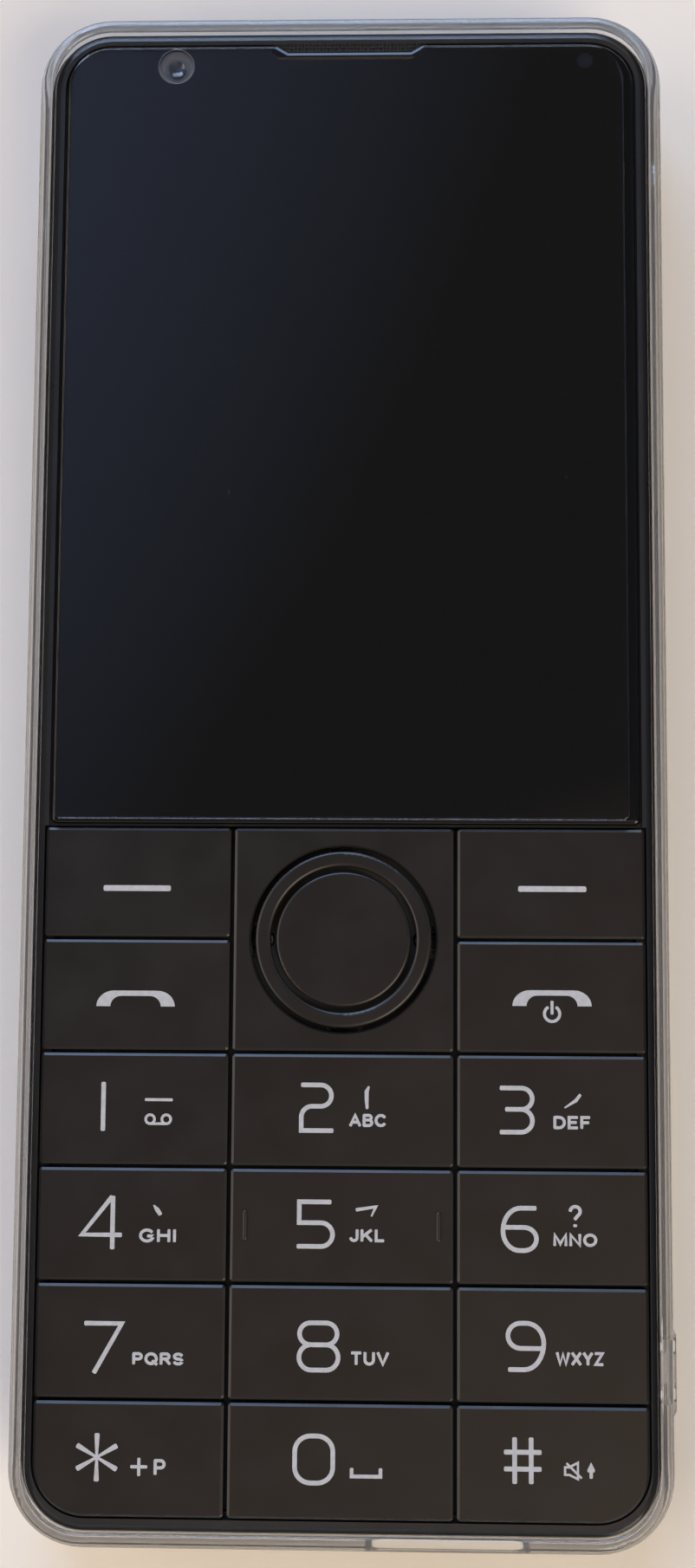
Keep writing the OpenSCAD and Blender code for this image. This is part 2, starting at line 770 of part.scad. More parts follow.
// Puts the children at every key light
module at_leds() {
    for (side = [-1, 1], row = led_rows)
        translate([side * led_x, row_y(row), 0])
            children();
}

// The earpiece notch in the glass, grown by a margin
module notch(margin) {
    half = notch_w / 2 + margin;
    inner = notch_inner_w / 2 + margin;
    depth = notch_depth + margin;
    slope = (half - inner) / depth;
    polygon([
        [-half - cut * slope, glass_y1 + cut], [half + cut * slope, glass_y1 + cut],
        [inner, glass_y1 - depth], [-inner, glass_y1 - depth]
    ]);
}

// The space over one bevelled side of that notch, which passes through x at the angle a
module notch_side(x, a) {
    drop = (notch_w + notch_bevel) * tan(notch_slope);
    translate([x, 0, 0])
        rotate([90, 0, 90 + a])
            linear_extrude(2 * notch_w, center = true)
                polygon([
                    [-notch_bevel, 0], [notch_w, -drop], [notch_w, notch_bevel], [-notch_bevel, notch_bevel]
                ]);
}

// The bevel round that notch, cut into the glass's face
module notch_edge() {
    inner = notch_inner_w / 2;
    a = atan2(notch_depth, notch_w / 2 - inner);
    translate([0, glass_y1 - notch_depth, glass_top_z])
        intersection() {
            notch_side(0, 0);
            notch_side(inner, a);
            notch_side(-inner, -a);
        }
}

// Cross-section of the case's wall and lip, measured outwards from the phone
module case_section() {
    polygon([
        [-case_rim, 0], [case_out - case_edge_r, 0], [case_out - case_edge_r, case_edge_r],
        [case_out, case_edge_r], [case_out, rim_z - rim_r], [case_out - rim_r, rim_z - rim_r],
        [case_out - rim_r, rim_z], [lip_x + lip_r, rim_z], [lip_x + lip_r, rim_z - lip_r],
        [lip_x, rim_z - lip_r], [lip_x, lip_z0 + lip_reach], [case_gap, lip_z0],
        [case_gap, case_floor], [-case_rim, case_floor]
    ]);
    quarter(case_out - case_edge_r, case_edge_r, case_edge_r, 1, -1);
    quarter(case_out - rim_r, rim_z - rim_r, rim_r, 1, 1);
    quarter(lip_x + lip_r, rim_z - lip_r, lip_r, -1, 1);
}

// The raised pad round the strap bar, on the case's right wall
module strap_pad() {
    half = strap_pad_l / 2;
    flat = half - strap_pad_slope;
    root = case_half_w - case_wall / 2;
    translate([0, strap_y, strap_z - strap_pad_h / 2])
        linear_extrude(strap_pad_h)
            polygon([
                [root, -half], [case_half_w, -half], [case_half_w + strap_pad_proud, -flat],
                [case_half_w + strap_pad_proud, flat], [case_half_w, half], [root, half]
            ]);
}

// The two strap holes and the channel that joins them behind the bar
module strap_cuts() {
    inside = phone_w / 2 + case_gap;
    for (s = [-1, 1])
        translate([inside - cut, strap_y + s * strap_pitch / 2, strap_z])
            rotate([90, 0, 90])
                linear_extrude(case_wall + strap_pad_proud + 2 * cut)
                    rotate(90)
                        stadium(strap_hole_h, strap_hole_w);
    half = (strap_pitch + strap_hole_w) / 2;
    block(
        [inside - cut, strap_y - half, strap_z - strap_hole_h / 2],
        [inside + strap_channel, strap_y + half, strap_z + strap_hole_h / 2]
    );
}

module clear_case() {
    camera_mid = camera_x - flash_from_camera / 2;
    camera_open_h = bezel_od + 2 * opening_margin;
    camera_open_w = flash_from_camera + camera_open_h;
    slots_w = (slot_count - 1) * slot_pitch + slot_w + 2 * opening_margin;
    slots_l = slot_l + 2 * opening_margin;
    color("gainsboro", 0.35)
        difference() {
            union() {
                slab(phone_w - case_rim, phone_l - case_rim, four(corner_r - case_rim / 2), 0, case_floor);
                rim(phone_w, phone_l, four(corner_r))
                    case_section();
                strap_pad();
            }
            strap_cuts();
            translate([camera_mid, camera_y, -cut])
                linear_extrude(case_floor + 2 * cut)
                    stadium(camera_open_w, camera_open_h);
            translate([speaker_x, speaker_y, -cut])
                linear_extrude(case_floor + 2 * cut)
                    stadium(slots_w, slots_l);
            along_y(bottom_y - case_out - cut, bottom_y + case_gap)
                translate([plug_x, usb_z])
                    round_rect(cutout_w, cutout_h, four(cutout_r));
        }
}

module screen_protector() {
    w = glass_w - 2 * protector_inset;
    l = glass_l - 2 * protector_end_inset;
    color("lightblue", 0.3)
        translate([-protector_shift, 0, 0])
            difference() {
                translate([0, glass_y, 0])
                    soft_slab(
                        w, l, protector_radii, glass_rim,
                        protector_z, protector_z + protector_t, protector_edge_r
                    );
                translate([0, 0, protector_z - cut])
                    linear_extrude(protector_t + 2 * cut)
                        notch(protector_notch_margin);
            }
}

module cover_glass() {
    color("#1c1e22")
        difference() {
            translate([0, glass_y, 0])
                soft_slab(glass_w, glass_l, glass_radii, glass_rim, glass_z, glass_top_z, glass_edge_r);
            translate([0, 0, glass_z - cut])
                linear_extrude(glass_t + 2 * cut)
                    notch(0);
            notch_edge();
        }
}

module earpiece_mesh() {
    color("#2a2a2c")
        translate([0, 0, glass_z])
            linear_extrude(mesh_t)
                intersection() {
                    notch(-mesh_gap);
                    translate([-notch_w / 2, glass_y1 - notch_depth])
                        square([notch_w, notch_depth + glass_gap]);
                }
}

// The outside of the frame, with a chamfered front edge
module frame_block() {
    inset = (frame_rim + edge_chamfer) / 2;
    slab(phone_w - 2 * inset, phone_l - 2 * inset, four(corner_r - inset), seam_z, frame_top_z);
    rim(phone_w, phone_l, four(corner_r))
        polygon([
            [-frame_rim, seam_z], [0, seam_z], [0, frame_top_z - edge_drop],
            [-edge_chamfer, frame_top_z], [-frame_rim, frame_top_z]
        ]);
}

// Everything that is hollow in the frame
module frame_hollows() {
    slab(bay_w, bay_l, four(bay_r), seam_z - cut, mid_z);
    translate([0, (display_y0 + display_y1) / 2, 0])
        slab(display_w, display_y1 - display_y0, four(display_r), display_z, glass_z + cut);
    recess_w = glass_w + 2 * glass_gap;
    recess_y1 = glass_y1 + glass_gap;
    recess_r = glass_corner_r + glass_gap;
    translate([0, (opening_top_y + recess_y1) / 2, 0])
        slab(recess_w, recess_y1 - opening_top_y, [recess_r, recess_r, 0, 0], glass_z, frame_top_z + cut);
    keys_open_w = keys_w + 2 * key_side_gap;
    keys_open_y0 = keys_bottom_y - key_side_gap;
    keys_open_r = keypad_r + key_side_gap;
    translate([0, (opening_top_y + keys_open_y0) / 2, 0])
        slab(
            keys_open_w, opening_top_y - keys_open_y0, [0, 0, keys_open_r, keys_open_r],
            web_top_z, frame_top_z + cut
        );
    bay_y0 = -bay_l / 2;
    translate([0, (opening_top_y + bay_y0) / 2, 0])
        slab(bay_w, opening_top_y - bay_y0, [0, 0, bay_r, bay_r], mid_z - cut, web_top_z + cut);
    along_y(bottom_y - cut, bottom_y + bay_wall + cut) {
        translate([plug_x, usb_z])
            stadium(usb_w + 2 * usb_gap, usb_h + 2 * usb_gap);
        translate([mic_x, mic_z])
            circle(d = mic_hole_d);
    }
    slot_y = display_flex_y - flex_t / 2 - flex_slot_gap;
    block(
        [-display_flex_w / 2 - flex_slot_gap, slot_y, mid_z - cut],
        [display_flex_w / 2 + flex_slot_gap, slot_y + flex_t + 2 * flex_slot_gap, display_z + cut]
    );
    at_top_screws()
        translate([0, 0, mid_z - cut])
            cylinder(d = screw_d + screw_clear, h = midplate_t + 2 * cut);
}

module front_frame() {
    color("#3a3a3d")
        difference() {
            union() {
                difference() {
                    frame_block();
                    frame_hollows();
                }
                at_board_screws()
                    translate([0, 0, seam_z])
                        cylinder(d = boss_d, h = board_z - seam_z);
            }
            at_board_screws()
                translate([0, 0, seam_z - cut])
                    cylinder(d = screw_d + screw_clear, h = board_z - seam_z + 2 * cut);
        }
}

module rear_cover() {
    color("#2b2b2e")
        difference() {
            union() {
                inset = (rear_rim + rear_edge_r) / 2;
                slab(phone_w - 2 * inset, phone_l - 2 * inset, four(corner_r - inset), back_z, bay_z);
                rim(phone_w, phone_l, four(corner_r)) {
                    quarter(-rear_edge_r, back_z + rear_edge_r, rear_edge_r, 1, -1);
                    translate([-rear_edge_r, back_z + rear_edge_r])
                        square([rear_edge_r, seam_z - back_z - rear_edge_r]);
                    translate([-rear_rim, back_z])
                        square([rear_rim - rear_edge_r, bay_z - back_z]);
                }
            }
            translate([camera_x, camera_y, back_z - cut])
                cylinder(d = bezel_od + 2 * window_gap, h = rear_wall + 2 * cut);
            translate([flash_x, camera_y, back_z - cut])
                cylinder(d = flash_d + 2 * window_gap, h = rear_wall + 2 * cut);
            for (i = [0:slot_count - 1])
                translate([speaker_x + (i - (slot_count - 1) / 2) * slot_pitch, speaker_y, back_z - cut])
                    linear_extrude(rear_wall + 2 * cut)
                        rotate(90)
                            stadium(slot_l, slot_w);
        }
}

module display_panel() {
    color("#16171a")
        block([-panel_w / 2, panel_y0, panel_z], [panel_w / 2, panel_y1, glass_z]);
}

module backlight() {
    color("white")
        block(
            [-panel_w / 2, panel_y0 + bond_ledge, display_z + backlight_gap],
            [panel_w / 2, panel_y1, panel_z]
        );
}

module display_flex() {
    bond_z = panel_z - flex_t / 2;
    color("darkorange")
        strip(0, display_flex_w, [
            [panel_y0 + bond_ledge - flex_slot_gap, bond_z], [display_flex_y, bond_z],
            [display_flex_y, flex_z], [flex_end_y, flex_z]
        ]);
}

module front_camera() {
    y = top_y - front_camera_from_top;
    half = front_camera_w / 2;
    base_top_z = display_z + display_bay_h / 2;
    color("#55585c")
        difference() {
            union() {
                block(
                    [front_camera_x - half, y - half, display_z],
                    [front_camera_x + half, y + half, base_top_z]
                );
                translate([front_camera_x, y, base_top_z])
                    cylinder(d = front_camera_ring_d, h = sensor_top_z - base_top_z);
            }
            translate([front_camera_x, y, base_top_z])
                cylinder(d = front_camera_lens_d, h = display_bay_h);
            translate([front_camera_x, y, sensor_top_z - front_camera_funnel_h])
                cylinder(d1 = front_camera_lens_d, d2 = front_camera_funnel_d, h = front_camera_funnel_h);
        }
}

module front_camera_lens() {
    color("black")
        translate([front_camera_x, top_y - front_camera_from_top, display_z + display_bay_h / 2])
            cylinder(d = front_camera_lens_d - 2 * spindle_gap, h = display_bay_h / 2 - 2 * sensor_gap);
}

module proximity_sensor() {
    y = top_y - sensor_from_top;
    half = sensor_w / 2;
    base_top_z = display_z + display_bay_h / 2;
    color("#26262a") {
        block([sensor_x - half, y - half, display_z], [sensor_x + half, y + half, base_top_z]);
        translate([sensor_x, y, base_top_z])
            cylinder(d = sensor_d, h = sensor_top_z - base_top_z);
    }
}

module earpiece_speaker() {
    y1 = display_y1 - sensor_gap;
    color("silver")
        block([-earpiece_w / 2, y1 - earpiece_d, display_z], [earpiece_w / 2, y1, sensor_top_z]);
}

module nav_plate() {
    l = 2 * key_l + row_gap;
    color("#2d2a28")
        difference() {
            translate([0, nav_y, 0])
                bevel_slab(
                    mid_col_w, l, four(key_corner_r), key_rim, web_top_z, key_top_z, key_bevel, key_drop
                );
            translate([0, nav_y, web_top_z - cut])
                cylinder(d = nav_hole_d, h = key_top_z - web_top_z + 2 * cut);
            translate([0, nav_y, key_top_z - nav_edge_chamfer])
                cylinder(
                    d1 = nav_hole_d, d2 = nav_hole_d + 4 * nav_edge_chamfer, h = 2 * nav_edge_chamfer
                );
        }
}

module nav_rocker() {
    color("dimgray")
        difference() {
            union() {
                translate([0, nav_y, rocker_z])
                    cylinder(d = rocker_d, h = rocker_t);
                at_nav([nav_angles[1], nav_angles[3]])
                    translate([0, 0, plunger_z])
                        cylinder(d = nub_d, h = rocker_top_z - plunger_z);
            }
            at_nav([nav_angles[0], nav_angles[2]])
                translate([0, 0, rocker_z - cut])
                    cylinder(d = nub_hole_d, h = rocker_t + 2 * cut);
            translate([0, nav_y, rocker_z - cut])
                cylinder(d = plunger_d + 2 * tilt_gap, h = rocker_t + 2 * cut);
        }
}

module nav_ring() {
    inner = ring_id / 2;
    outer = ring_od / 2;
    color("#2d2a28") {
        translate([0, nav_y, 0])
            rotate_extrude() {
                translate([inner, ring_z])
                    square([outer - inner, ring_top_z - nav_edge_r - ring_z]);
                translate([inner + nav_edge_r, ring_z])
                    square([outer - inner - 2 * nav_edge_r, ring_top_z - ring_z]);
                quarter(outer - nav_edge_r, ring_top_z - nav_edge_r, nav_edge_r, 1, 1);
                quarter(inner + nav_edge_r, ring_top_z - nav_edge_r, nav_edge_r, -1, 1);
            }
        at_nav([nav_angles[0], nav_angles[2]])
            translate([0, 0, plunger_z])
                cylinder(d = nub_d, h = ring_z + nav_edge_r - plunger_z);
    }
}

module key_ok() {
    color("#2d2a28")
        translate([0, nav_y, 0]) {
            rotate_extrude() {
                translate([0, ok_z])
                    square([ok_d / 2, ok_top_z - nav_edge_r - ok_z]);
                translate([0, ok_z])
                    square([ok_d / 2 - nav_edge_r, ok_top_z - ok_z]);
                quarter(ok_d / 2 - nav_edge_r, ok_top_z - nav_edge_r, nav_edge_r, 1, 1);
            }
            translate([0, 0, plunger_z])
                cylinder(d = plunger_d, h = ok_z - plunger_z + nav_edge_r);
        }
}

// A round-topped ridge along Y on a face at z = 0
module touch_ridge() {
    r = ridge_w / 2;
    half = ridge_l / 2 - r;
    translate([0, 0, ridge_h - r])
        rotate([90, 0, 0])
            rotate_extrude() {
                translate([0, -half])
                    square([r, 2 * half]);
                for (s = [-1, 1])
                    quarter(0, s * half, r, 1, s);
            }
}

// One key of the grid, with the plunger that presses its dome
module keycap(name, c, r) {
    color("#2d2a28")
        translate([col_x(c), row_y(r), 0]) {
            bevel_slab(col_w(c), key_l, key_radii(c, r), key_rim, key_z, key_top_z, key_bevel, key_drop);
            translate([0, 0, plunger_z])
                cylinder(d = plunger_d, h = key_z - plunger_z + key_bevel);
            if (name == RIDGED_KEY)
                for (s = [-1, 1])
                    translate([s * ridge_spacing / 2, 0, key_top_z])
                        touch_ridge();
        }
}

module keypad_web() {
    l = board_y1 - board_y0;
    color("#202020")
        difference() {
            translate([0, (board_y0 + board_y1) / 2, 0])
                slab(board_w, l, [0, 0, board_r, board_r], board_top_z, web_top_z);
            translate([0, 0, board_top_z - cut]) {
                h = web_top_z - board_top_z + 2 * cut;
                at_keys()
                    cylinder(d = dome_d + 2 * web_clear, h = h);
                at_nav(nav_angles)
                    cylinder(d = nav_dome_d + 2 * web_clear, h = h);
                at_board_screws()
                    cylinder(d = screw_head_d + 2 * web_clear, h = cut + screw_head_h + web_pocket_clear);
                at_leds()
                    linear_extrude(cut + led_h + web_pocket_clear)
                        square([led_w + 2 * web_clear, led_l + 2 * web_clear], center = true);
            }
        }
}

// A snap dome of sheet metal
module dome(d) {
    rotate_extrude()
        polygon([
            [d / 2, 0], [dome_top_d / 2, dome_h], [0, dome_h],
            [0, dome_h - dome_t], [dome_top_d / 2, dome_h - dome_t], [d / 2 - 2 * dome_t, 0]
        ]);
}

module metal_domes() {
    color("silver")
        translate([0, 0, board_top_z]) {
            at_keys()
                dome(dome_d);
            at_nav(nav_angles)
                dome(nav_dome_d);
        }
}

module key_leds() {
    color("lightyellow")
        translate([0, 0, board_top_z])
            at_leds()
                linear_extrude(led_h)
                    square([led_w, led_l], center = true);
}

module main_board() {
    color("darkgreen")
        difference() {
            translate([0, (board_y0 + board_y1) / 2, 0])
                slab(board_w, board_y1 - board_y0, [0, 0, board_r, board_r], board_z, board_top_z);
            at_board_screws()
                translate([0, 0, board_z - cut])
                    cylinder(d = screw_d + screw_clear, h = board_t + 2 * cut);
        }
}

module shield_cans() {
    color("lightgray")
        for (side = [-1, 1])
            translate([side * can_x, can_y, board_z - can_h])
                difference() {
                    linear_extrude(can_h)
                        square([can_w, can_l], center = true);
                    translate([0, 0, can_wall])
                        linear_extrude(can_h)
                            square([can_w - 2 * can_wall, can_l - 2 * can_wall], center = true);
                }
}

module board_chips() {
    color("#1a1a1a")
        for (side = [-1, 1])
            translate([side * can_x, can_y, board_z - chip_h])
                linear_extrude(chip_h)
                    square(chip_w, center = true);
}

module sim_socket() {
    y = bottom_y + sim_from_bottom;
    color("lightsteelblue")
        difference() {
            block(
                [sim_x - sim_w / 2, y - sim_l / 2, board_z - sim_h],
                [sim_x + sim_w / 2, y + sim_l / 2, board_z]
            );
            block(
                [sim_x - sim_w / 2 + sim_wall, y - sim_l / 2 - cut, board_z - sim_h + sim_wall],
                [sim_x + sim_w / 2 - sim_wall, y + sim_l / 2 - sim_wall, board_z - sim_wall]
            );
        }
}

module usb_socket() {
    color("silver")
        difference() {
            along_y(usb_y0, usb_y0 + usb_l)
                translate([plug_x, usb_z])
                    stadium(usb_w, usb_h);
            along_y(usb_y0 - cut, usb_back_y)
                translate([plug_x, usb_z])
                    stadium(usb_w - 2 * usb_wall, usb_h - 2 * usb_wall);
        }
}

module usb_tongue() {
    color("#202022")
        block(
            [plug_x - tongue_w / 2, usb_back_y - tongue_l, usb_z - tongue_t / 2],
            [plug_x + tongue_w / 2, usb_back_y, usb_z + tongue_t / 2]
        );
}

module microphone() {
    color("goldenrod")
        block(
            [mic_x - mic_w / 2, mic_y - mic_w / 2, board_z - mic_h],
            [mic_x + mic_w / 2, mic_y + mic_w / 2, board_z]
        );
}

module loudspeaker() {
    z0 = bay_z + dust_mesh_t;
    color("#303034")
        translate([speaker_x, speaker_y, 0])
            slab(speaker_w, speaker_l, four(display_r), z0, z0 + speaker_h);
}

module loudspeaker_mesh() {
    color("#101012")
        translate([speaker_x, speaker_y, 0])
            slab(
                speaker_w - display_r, speaker_l - display_r, four(display_r / 2),
                bay_z, bay_z + dust_mesh_t
            );
}

module vibration_motor() {
    color("silver")
        translate([motor_x, motor_y, motor_z]) {
            difference() {
                cylinder(d = motor_d, h = motor_h);
                translate([0, 0, motor_wall])
                    cylinder(d = motor_d - 2 * motor_wall, h = motor_h - 2 * motor_wall);
            }
            translate([0, 0, motor_wall / 2])
                cylinder(d = spindle_d, h = motor_h - motor_wall);
        }
}

// An off-centre weight: a half disc and a small hub
module vibration_rotor() {
    color("darkgoldenrod")
        translate([motor_x, motor_y, rotor_z])
            linear_extrude(rotor_h)
                difference() {
                    union() {
                        quarter(0, 0, rotor_r, 1, 1);
                        quarter(0, 0, rotor_r, -1, 1);
                        circle(rotor_hub_r);
                    }
                    circle(d = spindle_d + 2 * spindle_gap);
                }
}

module battery() {
    color("#4a4d52")
        block([-battery_w / 2, battery_y0, battery_z], [battery_w / 2, battery_y1, mid_z]);
}

module battery_lead() {
    color("darkorange")
        block(
            [lead_x - lead_w / 2, flex_end_y, board_z - flex_t],
            [lead_x + lead_w / 2, battery_y0, board_z]
        );
}

module link_flex() {
    top_z = top_board_z - flex_t / 2;
    color("darkorange")
        strip(-link_x, link_w, [
            [flex_end_y, flex_z], [link_step_y, flex_z], [link_step_y, top_z], [link_end_y, top_z]
        ]);
}

module top_board() {
    color("darkgreen")
        difference() {
            translate([0, (top_board_y0 + top_board_y1) / 2, 0])
                slab(board_w, top_board_l, [board_r, board_r, 0, 0], top_board_z, top_board_z + board_t);
            at_top_screws()
                translate([0, 0, top_board_z - cut])
                    cylinder(d = screw_d + screw_clear, h = board_t + 2 * cut);
        }
}

module rear_camera() {
    color("#202024") {
        block(
            [camera_x - camera_w / 2, camera_y - camera_w / 2, camera_body_z],
            [camera_x + camera_w / 2, camera_y + camera_w / 2, top_board_z]
        );
        translate([camera_x, camera_y, barrel_z])
            cylinder(d = barrel_d, h = camera_body_z - barrel_z + cut);
    }
}

module rear_camera_bezel() {
    color("#707276")
        translate([camera_x, camera_y, bezel_z])
            difference() {
                cylinder(d = bezel_od, h = bay_z - bezel_z);
                translate([0, 0, -cut])
                    cylinder(d = window_d, h = bay_z - bezel_z + 2 * cut);
            }
}

module rear_camera_window() {
    color("#101014")
        translate([camera_x, camera_y, window_z])
            cylinder(d = window_d - 2 * spindle_gap, h = window_t);
}

module flash_led() {
    half = flash_w / 2;
    color("lightyellow")
        block(
            [flash_x - half, camera_y - half, bay_z + flash_gap],
            [flash_x + half, camera_y + half, top_board_z]
        );
}

module flash_window() {
    color("ivory")
        translate([flash_x, camera_y, back_z])
            cylinder(d = flash_d, h = rear_wall);
}

module antenna() {
    y0 = board_y0 + board_gap;
    color("goldenrod")
        block(
            [antenna_x - antenna_w / 2, y0, bay_z],
            [antenna_x + antenna_w / 2, y0 + antenna_l, bay_z + flex_t]
        );
}

// A pan-head screw with its head's seat at z = 0 and its thread below
module screw(l) {
    cylinder(d = screw_head_d, h = screw_head_h);
    translate([0, 0, -l])
        cylinder(d = screw_d, h = l);
}

module screws() {
    color("silver") {
        at_board_screws()
            translate([0, 0, board_top_z])
                screw(screw_l);
        at_top_screws()
            translate([0, 0, top_board_z])
                rotate([180, 0, 0])
                    screw(top_screw_l);
    }
}

clear_case();
screen_protector();
cover_glass();
earpiece_mesh();
front_frame();
rear_cover();
display_panel();
backlight();
display_flex();
front_camera();
front_camera_lens();
proximity_sensor();
earpiece_speaker();
nav_plate();
nav_rocker();
nav_ring();
key_ok();
keypad_web();
metal_domes();
key_leds();
main_board();
shield_cans();
board_chips();
sim_socket();
usb_socket();
usb_tongue();
microphone();
loudspeaker();
loudspeaker_mesh();
vibration_motor();
vibration_rotor();
battery();
battery_lead();
link_flex();
top_board();
rear_camera();
rear_camera_bezel();
rear_camera_window();
flash_led();
flash_window();
antenna();
screws();
for (k = KEYS)
    keycap(k[0], k[1], k[2]);
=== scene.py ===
"""Looks of a bar keypad phone in a clear soft case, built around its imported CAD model."""

import json
import math

import bmesh
import bpy
from mathutils import Matrix, Vector
from mathutils.geometry import delaunay_2d_cdt


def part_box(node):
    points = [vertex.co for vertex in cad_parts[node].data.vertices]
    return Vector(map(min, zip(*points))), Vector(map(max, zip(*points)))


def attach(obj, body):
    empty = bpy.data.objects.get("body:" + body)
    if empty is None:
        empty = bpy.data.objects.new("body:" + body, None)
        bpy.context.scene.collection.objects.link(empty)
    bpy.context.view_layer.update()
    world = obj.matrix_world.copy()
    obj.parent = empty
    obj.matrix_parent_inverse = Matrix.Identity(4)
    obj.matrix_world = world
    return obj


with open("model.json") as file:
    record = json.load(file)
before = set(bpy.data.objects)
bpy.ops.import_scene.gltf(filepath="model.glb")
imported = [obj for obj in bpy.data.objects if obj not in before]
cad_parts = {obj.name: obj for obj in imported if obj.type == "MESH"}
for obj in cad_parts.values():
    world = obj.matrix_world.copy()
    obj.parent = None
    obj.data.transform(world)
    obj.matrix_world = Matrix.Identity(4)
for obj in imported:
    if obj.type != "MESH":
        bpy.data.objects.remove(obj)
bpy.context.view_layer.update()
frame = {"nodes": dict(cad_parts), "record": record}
scene = bpy.context.scene
scene.view_settings.view_transform = "Standard"
MM = 0.001


def add_object(name, data):
    obj = bpy.data.objects.new(name, data)
    scene.collection.objects.link(obj)
    return obj


def add_piece(name, points, faces, body, surface, smooth_below=0):
    """A closed mesh piece from points in millimetres, with edges smoothed below an angle in degrees."""
    shape = bmesh.new()
    corners = [shape.verts.new(Vector(p) * MM) for p in points]
    for face in faces:
        shape.faces.new([corners[i] for i in face]).smooth = smooth_below > 0
    bmesh.ops.recalc_face_normals(shape, faces=shape.faces)
    for edge in shape.edges:
        edge.smooth = edge.calc_face_angle(math.pi) < math.radians(smooth_below)
    mesh = bpy.data.meshes.new(name)
    shape.to_mesh(mesh)
    shape.free()
    mesh.materials.append(surface.material)
    obj = add_object(name, mesh)
    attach(obj, body)


def middle(node):
    """The middle of a node's box, in millimetres."""
    low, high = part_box(node)
    return (low + high) / 2 / MM


# Camera and light

IMAGE_H = 1810
SENSOR_H = 36
FOCAL_PX = 2300
ROLL, SIDE_TILT, TILT = -0.2, -1.71, -6.16
DISTANCE = 174.9 * MM
TARGET = Vector((0.26, -2.66, 9.3)) * MM


def turn(axis, degrees):
    return Matrix.Rotation(math.radians(degrees), 3, axis)


def make_camera():
    to_world = (turn("Z", ROLL) @ turn("Y", SIDE_TILT) @ turn("X", TILT)).transposed()
    camera = add_object("camera", bpy.data.cameras.new("camera"))
    camera.data.sensor_fit = "VERTICAL"
    camera.data.sensor_height = SENSOR_H
    camera.data.lens = SENSOR_H * FOCAL_PX / IMAGE_H
    camera.data.clip_start = 0.01
    place = TARGET + to_world @ Vector((0, 0, DISTANCE))
    camera.matrix_world = Matrix.Translation(place) @ to_world.to_4x4()
    scene.camera = camera


def softbox(name, place, size, watts, color):
    """A rectangular soft light aimed at the phone."""
    light = bpy.data.lights.new(name, "AREA")
    light.shape = "RECTANGLE"
    light.size, light.size_y = size
    light.energy = watts
    light.color = color
    lamp = add_object(name, light)
    lamp.location = place
    lamp.rotation_euler = (-Vector(place)).to_track_quat("-Z", "Y").to_euler()


# The room's light: the sine of the elevation, and the colour there
HORIZON = (0.05, (0.8, 0.78, 0.75))
OVERHEAD = (0.55, (0.075, 0.07, 0.068))
# Each glow: the direction of its middle, the cosines where it starts and is full, and its colour
GLOWS = (
    ((-0.75, 0.5, 0.43), 0.56, 0.75, (0.15, 0.21, 0.38)),
    ((0.2, -0.35, 0.91), 0.885, 0.99, (0.6, 0.4, 0.24)),
)


# Colour sockets of Blender's Mix node, which share their names with its other sockets
MIX_A, MIX_B, MIX_RESULT = 6, 7, 2


def set_stops(ramp, *stops):
    """Gives a colour ramp its (position, colour) stops."""
    elements = ramp.color_ramp.elements
    while len(elements) < len(stops):
        elements.new(1)
    for element, (position, color) in zip(elements, stops):
        element.position, element.color = position, (*color, 1)


def make_world():
    """A plain room: pale towards the horizon and dim overhead.

    It has a cool glow beyond the phone's top left and a faint warm one above its lower end.
    """
    world = bpy.data.worlds.new("room")
    world.use_nodes = True
    scene.world = world
    tree = world.node_tree
    direction = tree.nodes.new("ShaderNodeTexCoord").outputs["Generated"]
    split = tree.nodes.new("ShaderNodeSeparateXYZ")
    tree.links.new(direction, split.inputs[0])
    height = tree.nodes.new("ShaderNodeValToRGB")
    set_stops(height, HORIZON, OVERHEAD)
    tree.links.new(split.outputs["Z"], height.inputs["Fac"])
    light = height.outputs["Color"]
    for toward, start, full, color in GLOWS:
        near = tree.nodes.new("ShaderNodeVectorMath")
        near.operation = "DOT_PRODUCT"
        near.inputs[1].default_value = Vector(toward).normalized()
        tree.links.new(direction, near.inputs[0])
        glow = tree.nodes.new("ShaderNodeValToRGB")
        set_stops(glow, (start, (0, 0, 0)), (full, color))
        tree.links.new(near.outputs["Value"], glow.inputs["Fac"])
        both = tree.nodes.new("ShaderNodeMix")
        both.data_type = "RGBA"
        both.blend_type = "ADD"
        both.inputs["Factor"].default_value = 1
        tree.links.new(light, both.inputs[MIX_A])
        tree.links.new(glow.outputs["Color"], both.inputs[MIX_B])
        light = both.outputs[MIX_RESULT]
    tree.links.new(light, tree.nodes["Background"].inputs["Color"])


make_camera()
make_world()
softbox("window_light", (-0.44, 2.2, 1.0), (1.94, 1.66), 55, (0.44, 0.64, 1.0))
softbox("left_light", (-1.8, -0.2, 1.1), (2.6, 1.7), 24, (1.0, 0.8, 0.56))
softbox("fill_light", (1.5, -1.7, 1.8), (2.0, 1.8), 50, (1.0, 0.88, 0.72))


# Materials

# A wave texture of scale 1 repeats about every 0.314 units
WAVE_REPEAT = 0.314
CLEAR = (0.95, 0.95, 0.95)
GLASS_BLACK = (0.004, 0.0045, 0.0055)


